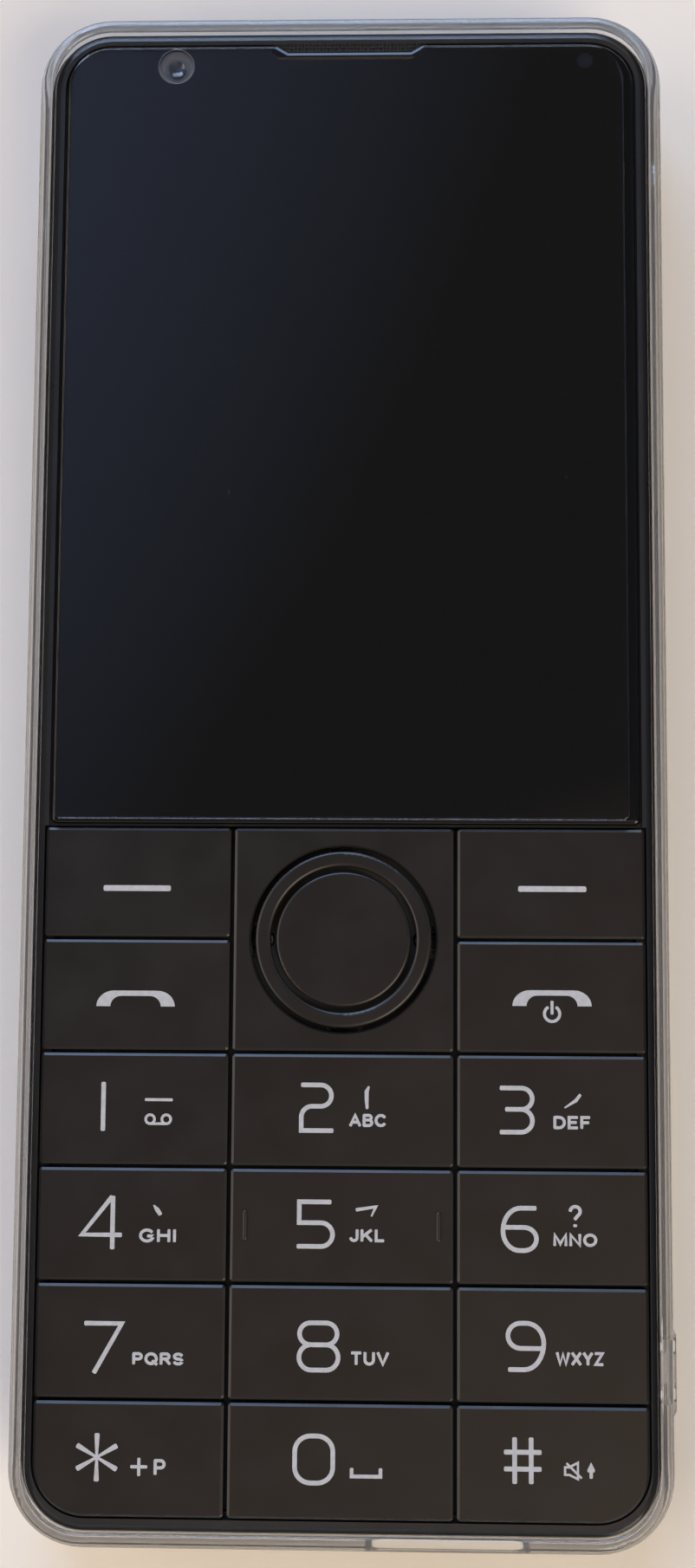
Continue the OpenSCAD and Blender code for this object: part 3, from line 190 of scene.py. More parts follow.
class Surface:
    """A Principled shader with procedural layers, whose features are sized in millimetres."""

    def __init__(self, name, color, roughness, **sockets):
        self.material = bpy.data.materials.new(name)
        self.material.use_nodes = True
        self.tree = self.material.node_tree
        self.shader = self.tree.nodes["Principled BSDF"]
        self.place = self.node("ShaderNodeTexCoord").outputs["Object"]
        self.set("Base Color", (*color, 1))
        self.set("Roughness", roughness)
        for socket, value in sockets.items():
            self.set(socket.replace("_", " "), value)

    def node(self, kind):
        return self.tree.nodes.new(kind)

    def set(self, socket, value):
        self.shader.inputs[socket].default_value = value

    def link(self, output, socket):
        self.tree.links.new(output, self.shader.inputs[socket])

    def stretched(self, stretch):
        scaled = self.node("ShaderNodeMapping")
        scaled.inputs["Scale"].default_value = stretch
        self.tree.links.new(self.place, scaled.inputs["Vector"])
        return scaled.outputs["Vector"]

    def noise(self, size, detail=2.0, stretch=(1, 1, 1)):
        """Cloudy noise whose features are about size millimetres across."""
        cloud = self.node("ShaderNodeTexNoise")
        cloud.inputs["Scale"].default_value = 1 / (size * MM)
        cloud.inputs["Detail"].default_value = detail
        self.tree.links.new(self.stretched(stretch), cloud.inputs["Vector"])
        return cloud.outputs["Fac"]

    def cells(self, size, feature="F1", stretch=(1, 1, 1)):
        """Distance to scattered points about size millimetres apart, in units of that size."""
        points = self.node("ShaderNodeTexVoronoi")
        points.feature = feature
        points.inputs["Scale"].default_value = 1 / (size * MM)
        self.tree.links.new(self.stretched(stretch), points.inputs["Vector"])
        return points.outputs["Distance"]

    def waves(self, pitch, axis):
        """Straight ridges along one axis, pitch millimetres apart."""
        ridges = self.node("ShaderNodeTexWave")
        ridges.wave_profile = "SIN"
        ridges.bands_direction = axis
        ridges.inputs["Scale"].default_value = WAVE_REPEAT / (pitch * MM)
        self.tree.links.new(self.place, ridges.inputs["Vector"])
        return ridges.outputs["Fac"]

    def combine(self, a, b, operation="MULTIPLY"):
        both = self.node("ShaderNodeMath")
        both.operation = operation
        self.tree.links.new(a, both.inputs[0])
        self.tree.links.new(b, both.inputs[1])
        return both.outputs["Value"]

    def vector(self, operation, value, other=(0, 0, 0)):
        step = self.node("ShaderNodeVectorMath")
        step.operation = operation
        self.tree.links.new(value, step.inputs[0])
        step.inputs[1].default_value = other
        return step.outputs["Value" if operation in ("DISTANCE", "LENGTH") else "Vector"]

    def along(self, axis, place=None):
        """Position in metres along one axis."""
        split = self.node("ShaderNodeSeparateXYZ")
        self.tree.links.new(place or self.place, split.inputs[0])
        return split.outputs[axis]

    def from_axis(self, node):
        """Distance in metres from the upright axis through the middle of a node."""
        return self.vector("DISTANCE", self.stretched((1, 1, 0)), (*(middle(node) * MM).xy, 0))

    def outside(self, node, radius):
        """Distance in metres from the round-cornered core of a node's outline, seen from above."""
        low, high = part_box(node)
        half = (high - low) / 2
        folded = self.vector("ABSOLUTE", self.stretched((1, 1, 0)))
        beyond = self.vector("SUBTRACT", folded, (half.x - radius * MM, half.y - radius * MM, 0))
        return self.vector("LENGTH", self.vector("MAXIMUM", beyond))

    def ranged(self, value, low, high, to_low, to_high):
        fit = self.node("ShaderNodeMapRange")
        limits = {"From Min": low, "From Max": high, "To Min": to_low, "To Max": to_high}
        for socket, number in limits.items():
            fit.inputs[socket].default_value = number
        self.tree.links.new(value, fit.inputs["Value"])
        return fit.outputs["Result"]

    def color(self, value, *stops):
        """Base colour from a ramp of (position, colour) stops."""
        ramp = self.node("ShaderNodeValToRGB")
        set_stops(ramp, *stops)
        self.tree.links.new(value, ramp.inputs["Fac"])
        self.link(ramp.outputs["Color"], "Base Color")

    def rough(self, value, low, high):
        self.link(self.ranged(value, 0.3, 0.7, low, high), "Roughness")

    def bump(self, value, depth):
        """Relief of the given depth in millimetres, laid over any relief before it."""
        relief = self.node("ShaderNodeBump")
        relief.inputs["Distance"].default_value = depth * MM
        earlier = self.shader.inputs["Normal"].links
        if earlier:
            self.tree.links.new(earlier[0].from_socket, relief.inputs["Normal"])
        self.tree.links.new(value, relief.inputs["Height"])
        self.link(relief.outputs["Normal"], "Normal")


def shade(color, factor):
    return tuple(c * factor for c in color)


def moulded(name, color, low, high, grain=0.09, depth=0.003, **sockets):
    """Moulded plastic with a fine spark-eroded grain and faint handling marks."""
    s = Surface(name, color, low, **sockets)
    marks = s.noise(9, 4)
    s.color(marks, (0.3, shade(color, 0.9)), (0.7, shade(color, 1.12)))
    s.rough(s.noise(5, 5), low, high)
    s.bump(s.noise(grain, 3), depth)
    return s


def metal(name, color, low, high, stretch=(1, 30, 1)):
    """Bare or plated sheet metal with a drawn grain."""
    s = Surface(name, color, low, Metallic=1.0)
    grain = s.noise(2, 3, stretch)
    s.color(grain, (0.3, shade(color, 0.85)), (0.7, color))
    s.rough(grain, low, high)
    s.bump(s.noise(0.3, 2, stretch), 0.002)
    return s


def clear_soft_plastic():
    """Clear behind the phone, and a little hazy in the wall around it.

    The lip's inner face, next to the frame, carries a painted shade, near black, that stands in for the
    shadow in the gap
    between case and frame: along the sides over its whole height, and at the ends only low down.
    """
    s = Surface("clear_soft_plastic", CLEAR, 0.1, IOR=1.42)
    corner = 5.2
    wall = s.outside("front_frame", corner)
    haze = s.ranged(wall, (corner - 0.05) * MM, (corner + 0.15) * MM, 0.985, 0.92)
    s.link(haze, "Transmission Weight")
    # Painted shade: the lines below build the mask of a near-black band on the lip's inner face, which stands
    # in for the shadow in the gap to the frame
    inner = s.ranged(wall, (corner - 0.08) * MM, (corner - 0.02) * MM, 0, 1)
    outer = s.ranged(wall, (corner + 0.1) * MM, (corner + 0.16) * MM, 1, 0)
    from_middle = s.along("Y", s.vector("ABSOLUTE", s.place))
    ends = s.ranged(from_middle, 60 * MM, 65 * MM, 0, 1.1 * MM)
    height = s.along("Z")
    below = s.ranged(s.combine(height, ends, "ADD"), 10.2 * MM, 10.3 * MM, 1, 0)
    above = s.ranged(height, 8.4 * MM, 8.8 * MM, 0, 1)
    edge = s.combine(s.combine(inner, outer), s.combine(above, below))
    # The painted shade's near-black colour, laid over the clear plastic by that mask
    s.color(edge, (0, CLEAR), (1, (0.012, 0.012, 0.013)))
    s.rough(s.noise(6, 4), 0.06, 0.14)
    s.bump(s.noise(9, 2), 0.003)
    s.bump(s.noise(0.6, 3), 0.0003)
    return s


def protector_glass():
    s = Surface("protector_glass", (1, 1, 1), 0.02, Transmission_Weight=1.0, IOR=1.38)
    s.rough(s.noise(14, 6), 0.01, 0.05)
    specks = s.ranged(s.cells(6), 0.008, 0.014, 0.75, 1)
    hairs = s.ranged(s.cells(3, "F1", (1, 0.12, 1)), 0.004, 0.012, 0.9, 1)
    s.link(s.combine(specks, hairs), "Transmission Weight")
    return s


def cover_glass():
    """Black-backed glass, left clear over the front camera and a little paler over the sensor."""
    s = Surface("cover_glass", GLASS_BLACK, 0.02, IOR=1.5)
    camera = s.ranged(s.from_axis("front_camera_lens"), 1.58 * MM, 1.68 * MM, 1, 0)
    sensor = s.ranged(s.from_axis("proximity_sensor"), 0.6 * MM, 0.9 * MM, 0.03, 0)
    s.link(camera, "Transmission Weight")
    s.color(s.combine(camera, sensor, "MAXIMUM"), (0, GLASS_BLACK), (0.03, (0.013, 0.017, 0.03)), (1, CLEAR))
    s.rough(s.noise(12, 5), 0.015, 0.04)
    return s


def woven(name, color):
    s = Surface(name, color, 0.55)
    weave = s.combine(s.waves(0.2, "X"), s.waves(0.2, "Y"))
    s.color(weave, (0.1, shade(color, 0.4)), (0.8, shade(color, 1.8)))
    s.bump(weave, 0.03)
    return s


def lens_glass():
    s = Surface("lens_glass", (0.006, 0.006, 0.012), 0.03, IOR=1.6, Coat_Weight=1.0)
    s.color(s.noise(1.2, 1), (0.35, (0.022, 0.02, 0.034)), (0.65, (0.036, 0.028, 0.05)))
    s.rough(s.noise(2, 3), 0.02, 0.06)
    return s


def circuit_board():
    s = Surface("board_green", (0.02, 0.14, 0.05), 0.3, Coat_Weight=0.4)
    tracks = s.cells(1.4, "DISTANCE_TO_EDGE", (1, 1, 0))
    s.color(tracks, (0.02, (0.03, 0.2, 0.075)), (0.12, (0.014, 0.1, 0.036)))
    s.rough(s.noise(1, 3), 0.22, 0.4)
    s.bump(tracks, 0.02)
    return s


def battery_pouch():
    s = Surface("battery_foil", (0.25, 0.26, 0.28), 0.35, Metallic=0.8)
    crease = s.noise(4, 5)
    s.color(crease, (0.3, (0.2, 0.21, 0.23)), (0.7, (0.28, 0.29, 0.31)))
    s.rough(crease, 0.28, 0.45)
    s.bump(crease, 0.05)
    return s


def flash_plastic():
    s = Surface("flash_plastic", (0.95, 0.94, 0.86), 0.15, Transmission_Weight=0.6, IOR=1.49)
    ring_pitch = 0.4
    rings = s.node("ShaderNodeTexWave")
    rings.wave_type = "RINGS"
    rings.rings_direction = "Z"
    rings.inputs["Scale"].default_value = WAVE_REPEAT / (ring_pitch * MM)
    shifted = s.node("ShaderNodeMapping")
    shifted.inputs["Location"].default_value = -middle("flash_window") * MM
    s.tree.links.new(s.place, shifted.inputs["Vector"])
    s.tree.links.new(shifted.outputs["Vector"], rings.inputs["Vector"])
    s.bump(rings.outputs["Fac"], 0.06)
    s.rough(s.noise(1, 2), 0.1, 0.2)
    return s


def legend_ink():
    s = Surface("legend_ink", (0.48, 0.49, 0.51), 0.5)
    s.color(s.noise(0.5, 3), (0.3, (0.44, 0.45, 0.47)), (0.7, (0.52, 0.53, 0.55)))
    s.rough(s.noise(0.4, 2), 0.42, 0.6)
    s.bump(s.noise(0.06, 2), 0.003)
    return s


SURFACES = {
    "clear_soft_plastic": clear_soft_plastic(),
    "protector_glass": protector_glass(),
    "cover_glass": cover_glass(),
    "dark_mesh": woven("dark_mesh", (0.016, 0.016, 0.018)),
    "frame_plastic": moulded("frame_plastic", (0.023, 0.023, 0.024), 0.27, 0.35),
    "cover_plastic": moulded("cover_plastic", (0.034, 0.033, 0.034), 0.4, 0.52, 0.14, 0.006),
    "display_glass": moulded("display_glass", (0.006, 0.007, 0.009), 0.06, 0.1, 0.2, 0.0005),
    "white_plastic": moulded("white_plastic", (0.85, 0.85, 0.85), 0.4, 0.5),
    "flex_film": moulded("flex_film", (0.5, 0.22, 0.04), 0.2, 0.32, 0.4, 0.004, Coat_Weight=0.5),
    "camera_grey": moulded("camera_grey", (0.4, 0.43, 0.5), 0.35, 0.45),
    "lens_glass": lens_glass(),
    "sensor_black": moulded("sensor_black", (0.02, 0.02, 0.022), 0.4, 0.55),
    "bare_steel": metal("bare_steel", (0.66, 0.66, 0.67), 0.22, 0.36),
    "key_plastic": moulded("key_plastic", (0.0118, 0.0098, 0.0092), 0.3, 0.4, 0.07, 0.002),
    "rocker_rubber": moulded("rocker_rubber", (0.03, 0.03, 0.03), 0.6, 0.75),
    "web_silicone": moulded("web_silicone", (0.02, 0.02, 0.021), 0.6, 0.75),
    "led_white": moulded("led_white", (0.9, 0.87, 0.7), 0.12, 0.25),
    "board_green": circuit_board(),
    "gold_metal": metal("gold_metal", (0.78, 0.58, 0.24), 0.2, 0.32),
    "battery_foil": battery_pouch(),
    "bezel_metal": metal("bezel_metal", (0.3, 0.3, 0.31), 0.25, 0.38, (1, 1, 40)),
    "flash_plastic": flash_plastic(),
}
INK = legend_ink()

for part in frame["record"]["subparts"]:
    for holder in frame["nodes"][part["node"]].material_slots:
        holder.material = SURFACES[part["material_slot"]].material


def make_floor():
    s = Surface("floor", (0.89, 0.84, 0.77), 0.9, Specular_IOR_Level=0.1)
    s.color(s.noise(60, 3), (0.3, (0.87, 0.82, 0.75)), (0.7, (0.91, 0.86, 0.79)))
    s.bump(s.noise(1.5, 3), 0.01)
    half, z = 2.5, -0.15 * MM
    corners = [(-half, -half, z), (half, -half, z), (half, half, z), (-half, half, z)]
    mesh = bpy.data.meshes.new("floor")
    mesh.from_pydata(corners, [], [(0, 1, 2, 3)])
    mesh.materials.append(s.material)
    add_object("floor", mesh)


make_floor()


# Strokes: thin printed or pressed shapes, drawn in millimetres on a flat face

def arc(x, y, rx, ry, start, end):
    steps = max(2, round(abs(end - start) / 12))
    angles = [math.radians(start + (end - start) * i / steps) for i in range(steps + 1)]
    return [(x + rx * math.cos(a), y + ry * math.sin(a)) for a in angles]


# A stroke's rounded end: how far it reaches out, and its width there, as shares of half the stroke's width
TIP = ((0.35, 0.92), (0.55, 0.7), (0.62, 0.35))
SAME_POINT = 1e-4
MITRE_LIMIT = 1.8


def round_ends(points, halves):
    """Adds softly rounded ends to an open stroke."""
    def tip(end, inner, half):
        out = (end - inner).normalized()
        return [(end + out * half * reach, half * share) for reach, share in TIP]
    first = tip(points[0], points[1], halves[0])[::-1]
    last = tip(points[-1], points[-2], halves[-1])
    drawn = first + list(zip(points, halves)) + last
    return [p for p, _ in drawn], [h for _, h in drawn]


class Print:
    """Gathers flat strips, and joins them into one mesh of even height."""

    def __init__(self, low, high):
        self.low, self.high = low, high
        self.cells = []

    def band(self, left, right, closed=False):
        """A strip between two lines of points."""
        pairs = list(zip(left, right))
        if closed:
            pairs.append(pairs[0])
        for (l0, r0), (l1, r1) in zip(pairs, pairs[1:]):
            cell = [Vector(l0), Vector(r0), Vector(r1), Vector(l1)]
            area = sum(a.cross(b) for a, b in zip(cell, cell[1:] + cell[:1]))
            self.cells.append(cell if area > 0 else cell[::-1])

    def stroke(self, path, width, closed=False):
        """A line of even width, or of one width at each point."""
        points = [Vector(p) for i, p in enumerate(path) if i == 0 or math.dist(p, path[i - 1]) > SAME_POINT]
        widths = width if isinstance(width, list) else [width] * len(points)
        halves = [w / 2 for w in widths]
        if not closed:
            points, halves = round_ends(points, halves)
        left, right = [], []
        count = len(points)
        for i, (point, half) in enumerate(zip(points, halves)):
            before = points[i - 1] if i or closed else None
            after = points[(i + 1) % count] if i < count - 1 or closed else None
            ways = [(b - a).normalized() for a, b in ((before, point), (point, after)) if a and b]
            across = sum((Vector((-w.y, w.x)) for w in ways), Vector((0, 0))).normalized()
            mitre = min(1 / max(across.dot(Vector((-ways[0].y, ways[0].x))), 0.1), MITRE_LIMIT)
            left.append(point + across * half * mitre)
            right.append(point - across * half * mitre)
        self.band(left, right, closed)

    def covers(self, point):
        """Whether a point lies in any of the strips."""
        def inside(cell):
            return all((b - a).cross(point - a) >= 0 for a, b in zip(cell, cell[1:] + cell[:1]))
        return any(inside(cell) for cell in self.cells)

    def build(self, name, body, surface, slot):
        """Unites the strips, so that crossing strokes share one flat top, and stands them up."""
        corners = [p for cell in self.cells for p in cell]
        loops = [list(range(i, i + 4)) for i in range(0, len(corners), 4)]
        points, _, triangles, *_ = delaunay_2d_cdt(corners, [], loops, 1, 1e-5)
        centres = [sum((points[i] for i in t), Vector((0, 0))) / 3 for t in triangles]
        tops = [tuple(t) for t, centre in zip(triangles, centres) if self.covers(centre)]
        ways = {(a, b): None for t in tops for a, b in zip(t, t[1:] + t[:1])}
        count = len(points)
        faces = tops + [tuple(i + count for i in reversed(t)) for t in tops]
        faces += [(a + count, b + count, b, a) for a, b in ways if (b, a) not in ways]
        solid = [(*p, z) for z in (self.high, self.low) for p in points]
        add_piece(name, solid, faces, body, surface)


# Letters on a cell one unit high: a width and its strokes
SPINE = [(0, 0), (0, 1)]
ROUND = arc(0.48, 0.5, 0.48, 0.5, 0, 348)
LETTERS = {
    "A": (0.92, [[(0, 0), (0.46, 1), (0.92, 0)], [(0.18, 0.32), (0.74, 0.32)]]),
    "B": (0.76, [SPINE, [(0, 1), *arc(0.46, 0.77, 0.25, 0.23, 90, -90), (0, 0.54)],
                 [(0, 0.54), *arc(0.49, 0.27, 0.27, 0.27, 90, -90), (0, 0)]]),
    "C": (0.86, [arc(0.48, 0.5, 0.48, 0.5, 42, 318)]),
    "D": (0.84, [SPINE, [(0, 1), *arc(0.38, 0.5, 0.46, 0.5, 90, -90), (0, 0)]]),
    "E": (0.7, [[(0.7, 1), (0, 1), (0, 0), (0.7, 0)], [(0, 0.52), (0.6, 0.52)]]),
    "F": (0.66, [[(0.66, 1), (0, 1), (0, 0)], [(0, 0.5), (0.58, 0.5)]]),
    "G": (0.92, [[*arc(0.48, 0.5, 0.48, 0.5, 42, 340), (0.93, 0.46), (0.56, 0.46)]]),
    "H": (0.78, [SPINE, [(0.78, 0), (0.78, 1)], [(0, 0.52), (0.78, 0.52)]]),
    "I": (0.0, [SPINE]),
    "J": (0.56, [[(0.56, 1), *arc(0.28, 0.29, 0.28, 0.29, 0, -165)]]),
    "K": (0.82, [SPINE, [(0.78, 1), (0.06, 0.38)], [(0.3, 0.6), (0.82, 0)]]),
    "L": (0.62, [[(0, 1), (0, 0), (0.62, 0)]]),
    "M": (0.96, [[(0, 0), (0, 1), (0.48, 0.12), (0.96, 1), (0.96, 0)]]),
    "N": (0.78, [[(0, 0), (0, 1), (0.78, 0), (0.78, 1)]]),
    "O": (0.96, [ROUND]),
    "P": (0.7, [SPINE, [(0, 1), *arc(0.42, 0.73, 0.28, 0.27, 90, -90), (0, 0.46)]]),
    "Q": (0.98, [ROUND, [(0.62, 0.26), (0.98, -0.06)]]),
    "R": (0.78, [SPINE, [(0, 1), *arc(0.46, 0.75, 0.27, 0.25, 90, -90), (0, 0.5)],
                 [(0.42, 0.46), (0.78, 0)]]),
    "S": (0.74, [[*arc(0.37, 0.75, 0.35, 0.25, 25, 262), *arc(0.37, 0.25, 0.37, 0.25, 82, -155)]]),
    "T": (0.78, [[(0, 1), (0.78, 1)], [(0.39, 1), (0.39, 0)]]),
    "U": (0.78, [[(0, 1), *arc(0.39, 0.36, 0.39, 0.36, 180, 360), (0.78, 1)]]),
    "V": (0.88, [[(0, 1), (0.44, 0), (0.88, 1)]]),
    "W": (1.24, [[(0, 1), (0.3, 0), (0.62, 0.92), (0.94, 0), (1.24, 1)]]),
    "X": (0.84, [[(0, 1), (0.84, 0)], [(0.84, 1), (0, 0)]]),
    "Y": (0.84, [[(0, 1), (0.42, 0.46), (0.84, 1)], [(0.42, 0.46), (0.42, 0)]]),
    "Z": (0.74, [[(0, 1), (0.74, 1), (0, 0), (0.74, 0)]]),
}
LETTER_W = 0.255
LETTER_GAP = 0.42


class Legend(Print):
    """What is printed on one key, with its origin at the middle of the key's top."""

    def __init__(self, node, dx=0, dy=0):
        self.node = node
        face = TOPS.get(node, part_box(node)[1].z / MM)
        super().__init__(face - 0.008, face + 0.018)
        self.middle = middle(node) + Vector((dx, dy, 0))

    def place(self, points):
        return [(x + self.middle.x, y + self.middle.y) for x, y in points]

    def line(self, points, width, closed=False):
        self.stroke(self.place(points), width, closed)
        return self

    def word(self, text, left, right, bottom, top, width=LETTER_W):
        """A word that fills a box given by its outer edges."""
        tall = top - bottom - width
        cells = [LETTERS[c] for c in text]
        natural = sum(w for w, _ in cells) + LETTER_GAP * (len(cells) - 1)
        wide = (right - left - width) / natural
        x = left + width / 2
        for w, strokes in cells:
            for path in strokes:
                drawn = [(x + px * wide, bottom + width / 2 + py * tall) for px, py in path]
                self.line(drawn, width, path is ROUND)
            x += (w + LETTER_GAP) * wide
        return self

    def handset(self, x, y):
        """A lying telephone handset, drawn as a band between its outer and inner lines."""
        outer = [(-3.42, -0.92), *arc(-1.9, -0.92, 1.52, 1.36, 170, 90),
                 *arc(1.9, -0.92, 1.52, 1.36, 90, 10), (3.42, -0.92)]
        inner = [(-2.2, -0.92), *arc(-1.25, -0.92, 0.95, 0.9, 170, 90),
                 *arc(1.25, -0.92, 0.95, 0.9, 90, 10), (2.2, -0.92)]
        sides = [self.place([(px + x, py + y) for px, py in side]) for side in (inner, outer)]
        self.band(*sides)
        return self

    def done(self):
        self.build("legend_" + self.node, self.node, INK, "white_plastic")


# The ridged key's printed face lies below its ridges
TOPS = {"key_5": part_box("key_4")[1].z / MM}
DIGIT_W = 0.39


def print_legends():
    Legend("key_left_soft", 0.05, -0.1).line([(-2.9, -0.45), (2.7, -0.45)], 0.5).done()
    Legend("key_right_soft", -0.1, 0.1).line([(-2.6, -0.55), (3.0, -0.55)], 0.5).done()
    Legend("key_call", 0.05, -0.1).handset(-0.06, 0).done()
    (Legend("key_end", -0.1, 0).handset(0.14, 0.16)
     .line(arc(0.14, -1.42, 0.66, 0.66, 125, 415), 0.26).line([(0.14, -0.38), (0.14, -1.4)], 0.26).done())
    (Legend("key_1", 0.05, -0.05).line([(-2.7, 2.2), (-2.7, -1.76)], DIGIT_W)
     .line([(0.98, 0.83), (3.24, 0.83)], 0.25)
     .line(arc(1.38, -0.84, 0.38, 0.38, 0, 348), 0.23, True)
     .line(arc(2.78, -0.84, 0.38, 0.38, 0, 348), 0.23, True)
     .line([(1.38, -1.22), (2.78, -1.22)], 0.23).done())
    (Legend("key_2", -0.15, -0.1)
     .line([(-3.3, 2.25), *arc(-1.7, 1.34, 0.91, 0.91, 90, -90), *arc(-2.46, -0.49, 0.92, 0.92, 90, 180),
            (-3.38, -1.64), (-0.72, -1.64)], DIGIT_W)
     .word("ABC", 0.74, 3.94, -1.3, -0.18)
     .line([(2.42, 2.12), (2.24, 1.72), (2.25, 0.95), (2.29, 0.3)], [0.18, 0.36, 0.33, 0.24]).done())
    (Legend("key_3", -0.1, -0.12).line([(-4.26, 2.14), *arc(-2.5, 1.235, 0.905, 0.905, 90, -90)], DIGIT_W)
     .line([(-3.8, 0.33), *arc(-2.55, -0.64, 0.97, 0.97, 90, -90), (-4.26, -1.61)], DIGIT_W)
     .word("DEF", 0.21, 3.41, -1.33, -0.19)
     .line([(2.5, 1.58), (2.16, 1.12), (1.2, 0.5)], [0.26, 0.3, 0.12]).done())
    (Legend("key_4", 0.05, 0).line([(-1.82, 2.26), (-4.34, -0.92), (-1.0, -0.92)], DIGIT_W)
     .line([(-1.7, 2.26), (-1.7, -2.02)], DIGIT_W)
     .word("GHI", 0.6, 3.78, -1.54, -0.36)
     .line([(1.84, 1.6), (2.12, 1.25), (2.38, 0.88)], [0.14, 0.38, 0.36]).done())
    (Legend("key_5", -0.15, -0.1)
     .line([(-0.84, 2.13), (-3.48, 2.13), (-3.48, 0.37), *arc(-1.6, -0.625, 0.99, 0.995, 90, -90),
            (-3.56, -1.62)], DIGIT_W)
     .word("JKL", 0.82, 3.86, -1.22, -0.1)
     .line([(1.46, 1.5), (3.1, 1.76), (2.72, 0.98)], [0.3, 0.28, 0.14]).done())
    (Legend("key_6", -0.12, -0.2)
     .line([(-1.36, 1.87), *arc(-2.6, 0, 1.5, 1.87, 90, 180), *arc(-2.7, -0.1, 1.4, 1.59, 180, 270),
            *arc(-2.3, -0.72, 1.05, 0.97, -90, 90), (-3.98, 0.25)], DIGIT_W)
     .word("MNO", 0.18, 3.92, -1.33, -0.2)
     .line([*arc(2.06, 1.64, 0.42, 0.4, 172, -55), (2.05, 1.0)], 0.29)
     .line([(2.05, 0.46), (2.05, 0.42)], 0.32).done())
    (Legend("key_7", 0.04, 0.05).line([(-3.84, 1.4), (-0.74, 1.4), (-3.02, -2.66)], DIGIT_W)
     .word("PQRS", 0.21, 4.61, -2.04, -0.97).done())
    loops = [arc(-1.06, 0.9, 0.92, 0.91, 90, -90) + arc(-2.42, 0.9, 0.92, 0.91, 270, 90),
             arc(-1.06, -1.06, 1.02, 1.05, 90, -90) + arc(-2.36, -1.06, 1.02, 1.05, 270, 90)]
    (Legend("key_8", -0.17, -0.12).line(loops[0], DIGIT_W, True).line(loops[1], DIGIT_W, True)
     .word("TUV", 1.01, 4.3, -1.69, -0.52).done())
    (Legend("key_9", -0.13, -0.28)
     .line([(-0.72, 0.05), *arc(-2.6, 1.095, 1.09, 1.045, 270, 90), *arc(-2.1, 0.5, 1.45, 1.64, 90, 0),
            *arc(-2.3, 0.5, 1.65, 2.21, 0, -90), (-3.56, -1.71)], DIGIT_W)
     .word("WXYZ", 0.36, 4.43, -1.34, -0.18).done())
    star = Legend("key_star", 0.03, 0.1)
    for angle in range(30, 390, 60):
        way = Vector((math.cos(math.radians(angle)), math.sin(math.radians(angle))))
        star.line([(-2.66, 0.04), (-2.66 + 1.86 * way.x, 0.04 + 1.86 * way.y)], [0.2, 0.44])
    (star.line([(0.3, -0.7), (1.58, -0.7)], 0.27).line([(0.94, -0.04), (0.94, -1.38)], 0.27)
     .word("P", 2.2, 3.22, -1.4, -0.04, 0.27).done())
    (Legend("key_0", -0.18, -0.13)
     .line([*arc(-1.77, 0.99, 1.35, 1.27, 0, 90), *arc(-2.3, 0.99, 1.35, 1.27, 90, 180),
            *arc(-2.3, -0.34, 1.35, 1.27, 180, 270), *arc(-1.77, -0.34, 1.35, 1.27, 270, 360)], DIGIT_W, True)
     .line([(1.18, -0.42), (1.18, -1.02), (3.62, -1.02), (3.62, -0.42)], 0.31).done())
    hash_sign = Legend("key_hash", -0.15, -0.36)
    for x in (-3.12, -1.73):
        hash_sign.line([(x, 2.48), (x, -1.1)], 0.4)
    for y in (1.38, 0.0):
        hash_sign.line([(-3.9, y), (-0.98, y)], 0.4)
    (hash_sign.line([(1.12, 0.2), (1.48, 0.2), (2.2, 0.58), (2.2, -0.76), (1.48, -0.42), (1.12, -0.42)],
                    0.19, True)
     .line([(1.28, 0.5), (2.48, -0.66)], 0.19)
     .line([(3.31, 0.58), (3.31, -0.02)], [0.05, 0.66]).line([(3.31, -0.05), (3.31, -0.62)], 0.28).done())


print_legends()


# Fine metalwork and lenses

# The earpiece mesh is a trapezium: half the width of its shorter, lower side, in millimetres
MESH_FOOT = 5.6
WIRE_SIDES = 6
STEPS_PER_PITCH = 3


def weave(name, node, pitch, wire):
    """A plain-woven wire mesh lying on a node's top face, inside its box."""
    low, high = (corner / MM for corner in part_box(node))
    points, faces = [], []

    def thread(route):
        """One wire, along a route of centres with the direction across the wire."""
        start = len(points)
        for centre, side in route:
            for s in range(WIRE_SIDES):
                a = 2 * math.pi * s / WIRE_SIDES
                up = Vector((0, 0, wire / 2 * math.sin(a)))
                points.append(centre + side * (wire / 2 * math.cos(a)) + up)
        rings = [range(start + r * WIRE_SIDES, start + (r + 1) * WIRE_SIDES) for r in range(len(route))]
        for here, there in zip(rings, rings[1:]):
            for s in range(WIRE_SIDES):
                e = (s + 1) % WIRE_SIDES
                faces.append((here[s], here[e], there[e], there[s]))
        faces.append(tuple(reversed(rings[0])))
        faces.append(tuple(rings[-1]))

    def lift(crossings):
        """Height of a wire that has crossed so many others, over one and under the next."""
        return high.z + wire / 2 + wire / 2 * math.cos(math.pi * crossings)

    tall = high.y - low.y
    slope = (high.x - low.x) / 2 - MESH_FOOT
    rows = round(tall / pitch)
    columns = round((high.x - low.x) / pitch)
    axis_x = (low.x + high.x) / 2
    for c in range(columns):
        x = (c - (columns - 1) / 2) * pitch
        foot = low.y + max(0, abs(x) - MESH_FOOT) / slope * tall
        count = max(2, round((high.y - foot) / pitch * STEPS_PER_PITCH))
        ys = [foot + (high.y - foot) * i / count for i in range(count + 1)]
        thread([(Vector((axis_x + x, y, lift((y - low.y) / pitch + c))), Vector((1, 0, 0))) for y in ys])
    for r in range(rows):
        y = low.y + (r + 0.5) * pitch
        reach = MESH_FOOT + slope * (y - low.y) / tall - wire
        count = round(2 * reach / pitch * STEPS_PER_PITCH)
        xs = [-reach + 2 * reach * i / count for i in range(count + 1)]
        thread([(Vector((axis_x + x, y, lift(x / pitch + r + 0.5))), Vector((0, 1, 0))) for x in xs])
    add_piece(name, points, faces, "phone", SURFACES["dark_mesh"], 70)


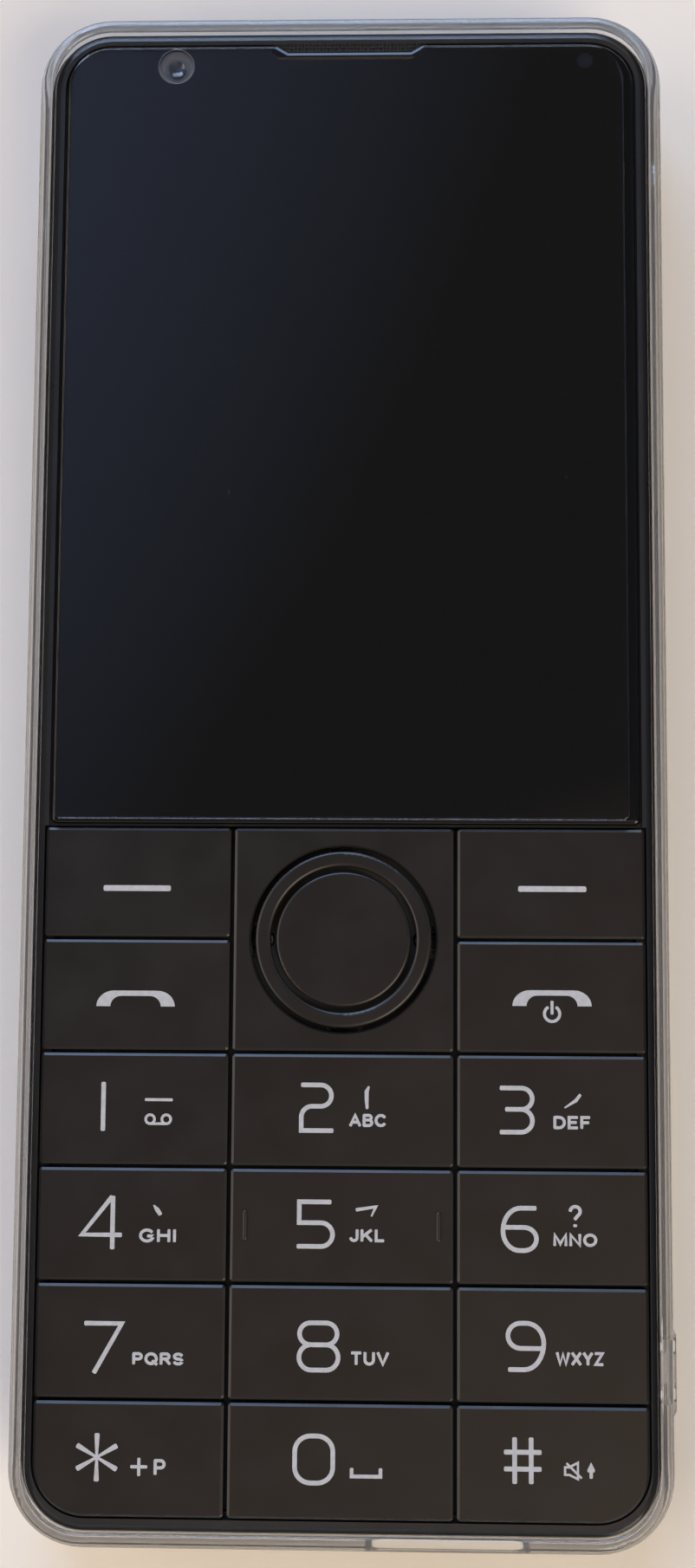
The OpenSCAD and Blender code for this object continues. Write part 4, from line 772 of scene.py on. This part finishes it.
def turned(name, node, profile, slot, segments=48):
    """A closed round piece about a node's upright axis, from a profile of radius and height in millimetres.

    A profile that starts and ends on the axis is a lens, and any other closes on itself as a ring.
    """
    axis = middle(node)
    rings = [(r, z) for r, z in profile if r > 0]
    points, faces = [], []
    for r, z in rings:
        for s in range(segments):
            a = 2 * math.pi * s / segments
            points.append((axis.x + r * math.cos(a), axis.y + r * math.sin(a), z))
    lens = profile[0][0] == 0
    for i in range(len(rings) - lens):
        here, there = i * segments, (i + 1) % len(rings) * segments
        for s in range(segments):
            e = (s + 1) % segments
            faces.append((here + s, here + e, there + e, there + s))
    if lens:
        for z, base in ((profile[0][1], 0), (profile[-1][1], (len(rings) - 1) * segments)):
            points.append((axis.x, axis.y, z))
            faces += [(base + s, base + (s + 1) % segments, len(points) - 1) for s in range(segments)]
    add_piece(name, points, faces, "phone", SURFACES[slot], 35)


CONTACTS = 12
CONTACT_PITCH = 0.5
CONTACT_W = 0.28
# How deep a contact is sunk in the tongue's face, and how far it stands out of it
CONTACT_SUNK, CONTACT_PROUD = 0.01, 0.03


def usb_contacts():
    """Gold contact strips on both faces of the socket's tongue."""
    low, high = (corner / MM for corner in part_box("usb_tongue"))
    axis_x = (low.x + high.x) / 2
    for name, bottom, top in (
        ("usb_contacts_upper", high.z - CONTACT_SUNK, high.z + CONTACT_PROUD),
        ("usb_contacts_lower", low.z - CONTACT_PROUD, low.z + CONTACT_SUNK),
    ):
        strips = Print(bottom, top)
        for i in range(CONTACTS):
            x = axis_x + (i - (CONTACTS - 1) / 2) * CONTACT_PITCH
            strips.stroke([(x, low.y + 0.5), (x, high.y - 0.4)], CONTACT_W)
        strips.build(name, "phone", SURFACES["gold_metal"], "gold_metal")


# Profiles of radius and height above a base
LENS_DISH = ((0, -0.02), (0.74, -0.02), (0.76, 0.15), (0.73, 0.17), (0.66, 0.14), (0.55, 0.095),
             (0.44, 0.06), (0.3, 0.028), (0.15, 0.007), (0, 0))
REAR_RINGS = ((2.9, 0.05), (2.35, 0.05), (2.25, 0.1), (1.95, 0.1), (1.8, 0.15), (1.5, 0.15),
              (1.5, 0.19), (2.9, 0.19))
REAR_DOME = ((0, 0.19), (1.48, 0.19), (1.45, 0.16), (1.1, 0.1), (0.6, 0.065), (0, 0.055))


def raised(base, profile):
    """A profile with its heights moved up to a base."""
    return [(r, base + z) for r, z in profile]


weave("earpiece_weave", "earpiece_mesh", 0.34, 0.11)
usb_contacts()
lens_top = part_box("front_camera_lens")[1].z / MM
turned("front_camera_dish", "front_camera_lens", raised(lens_top, LENS_DISH), "lens_glass")
rear_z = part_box("rear_camera_window")[1].z / MM
turned("rear_camera_rings", "rear_camera_window", raised(rear_z, REAR_RINGS), "sensor_black")
turned("rear_camera_dome", "rear_camera_window", raised(rear_z, REAR_DOME), "lens_glass")
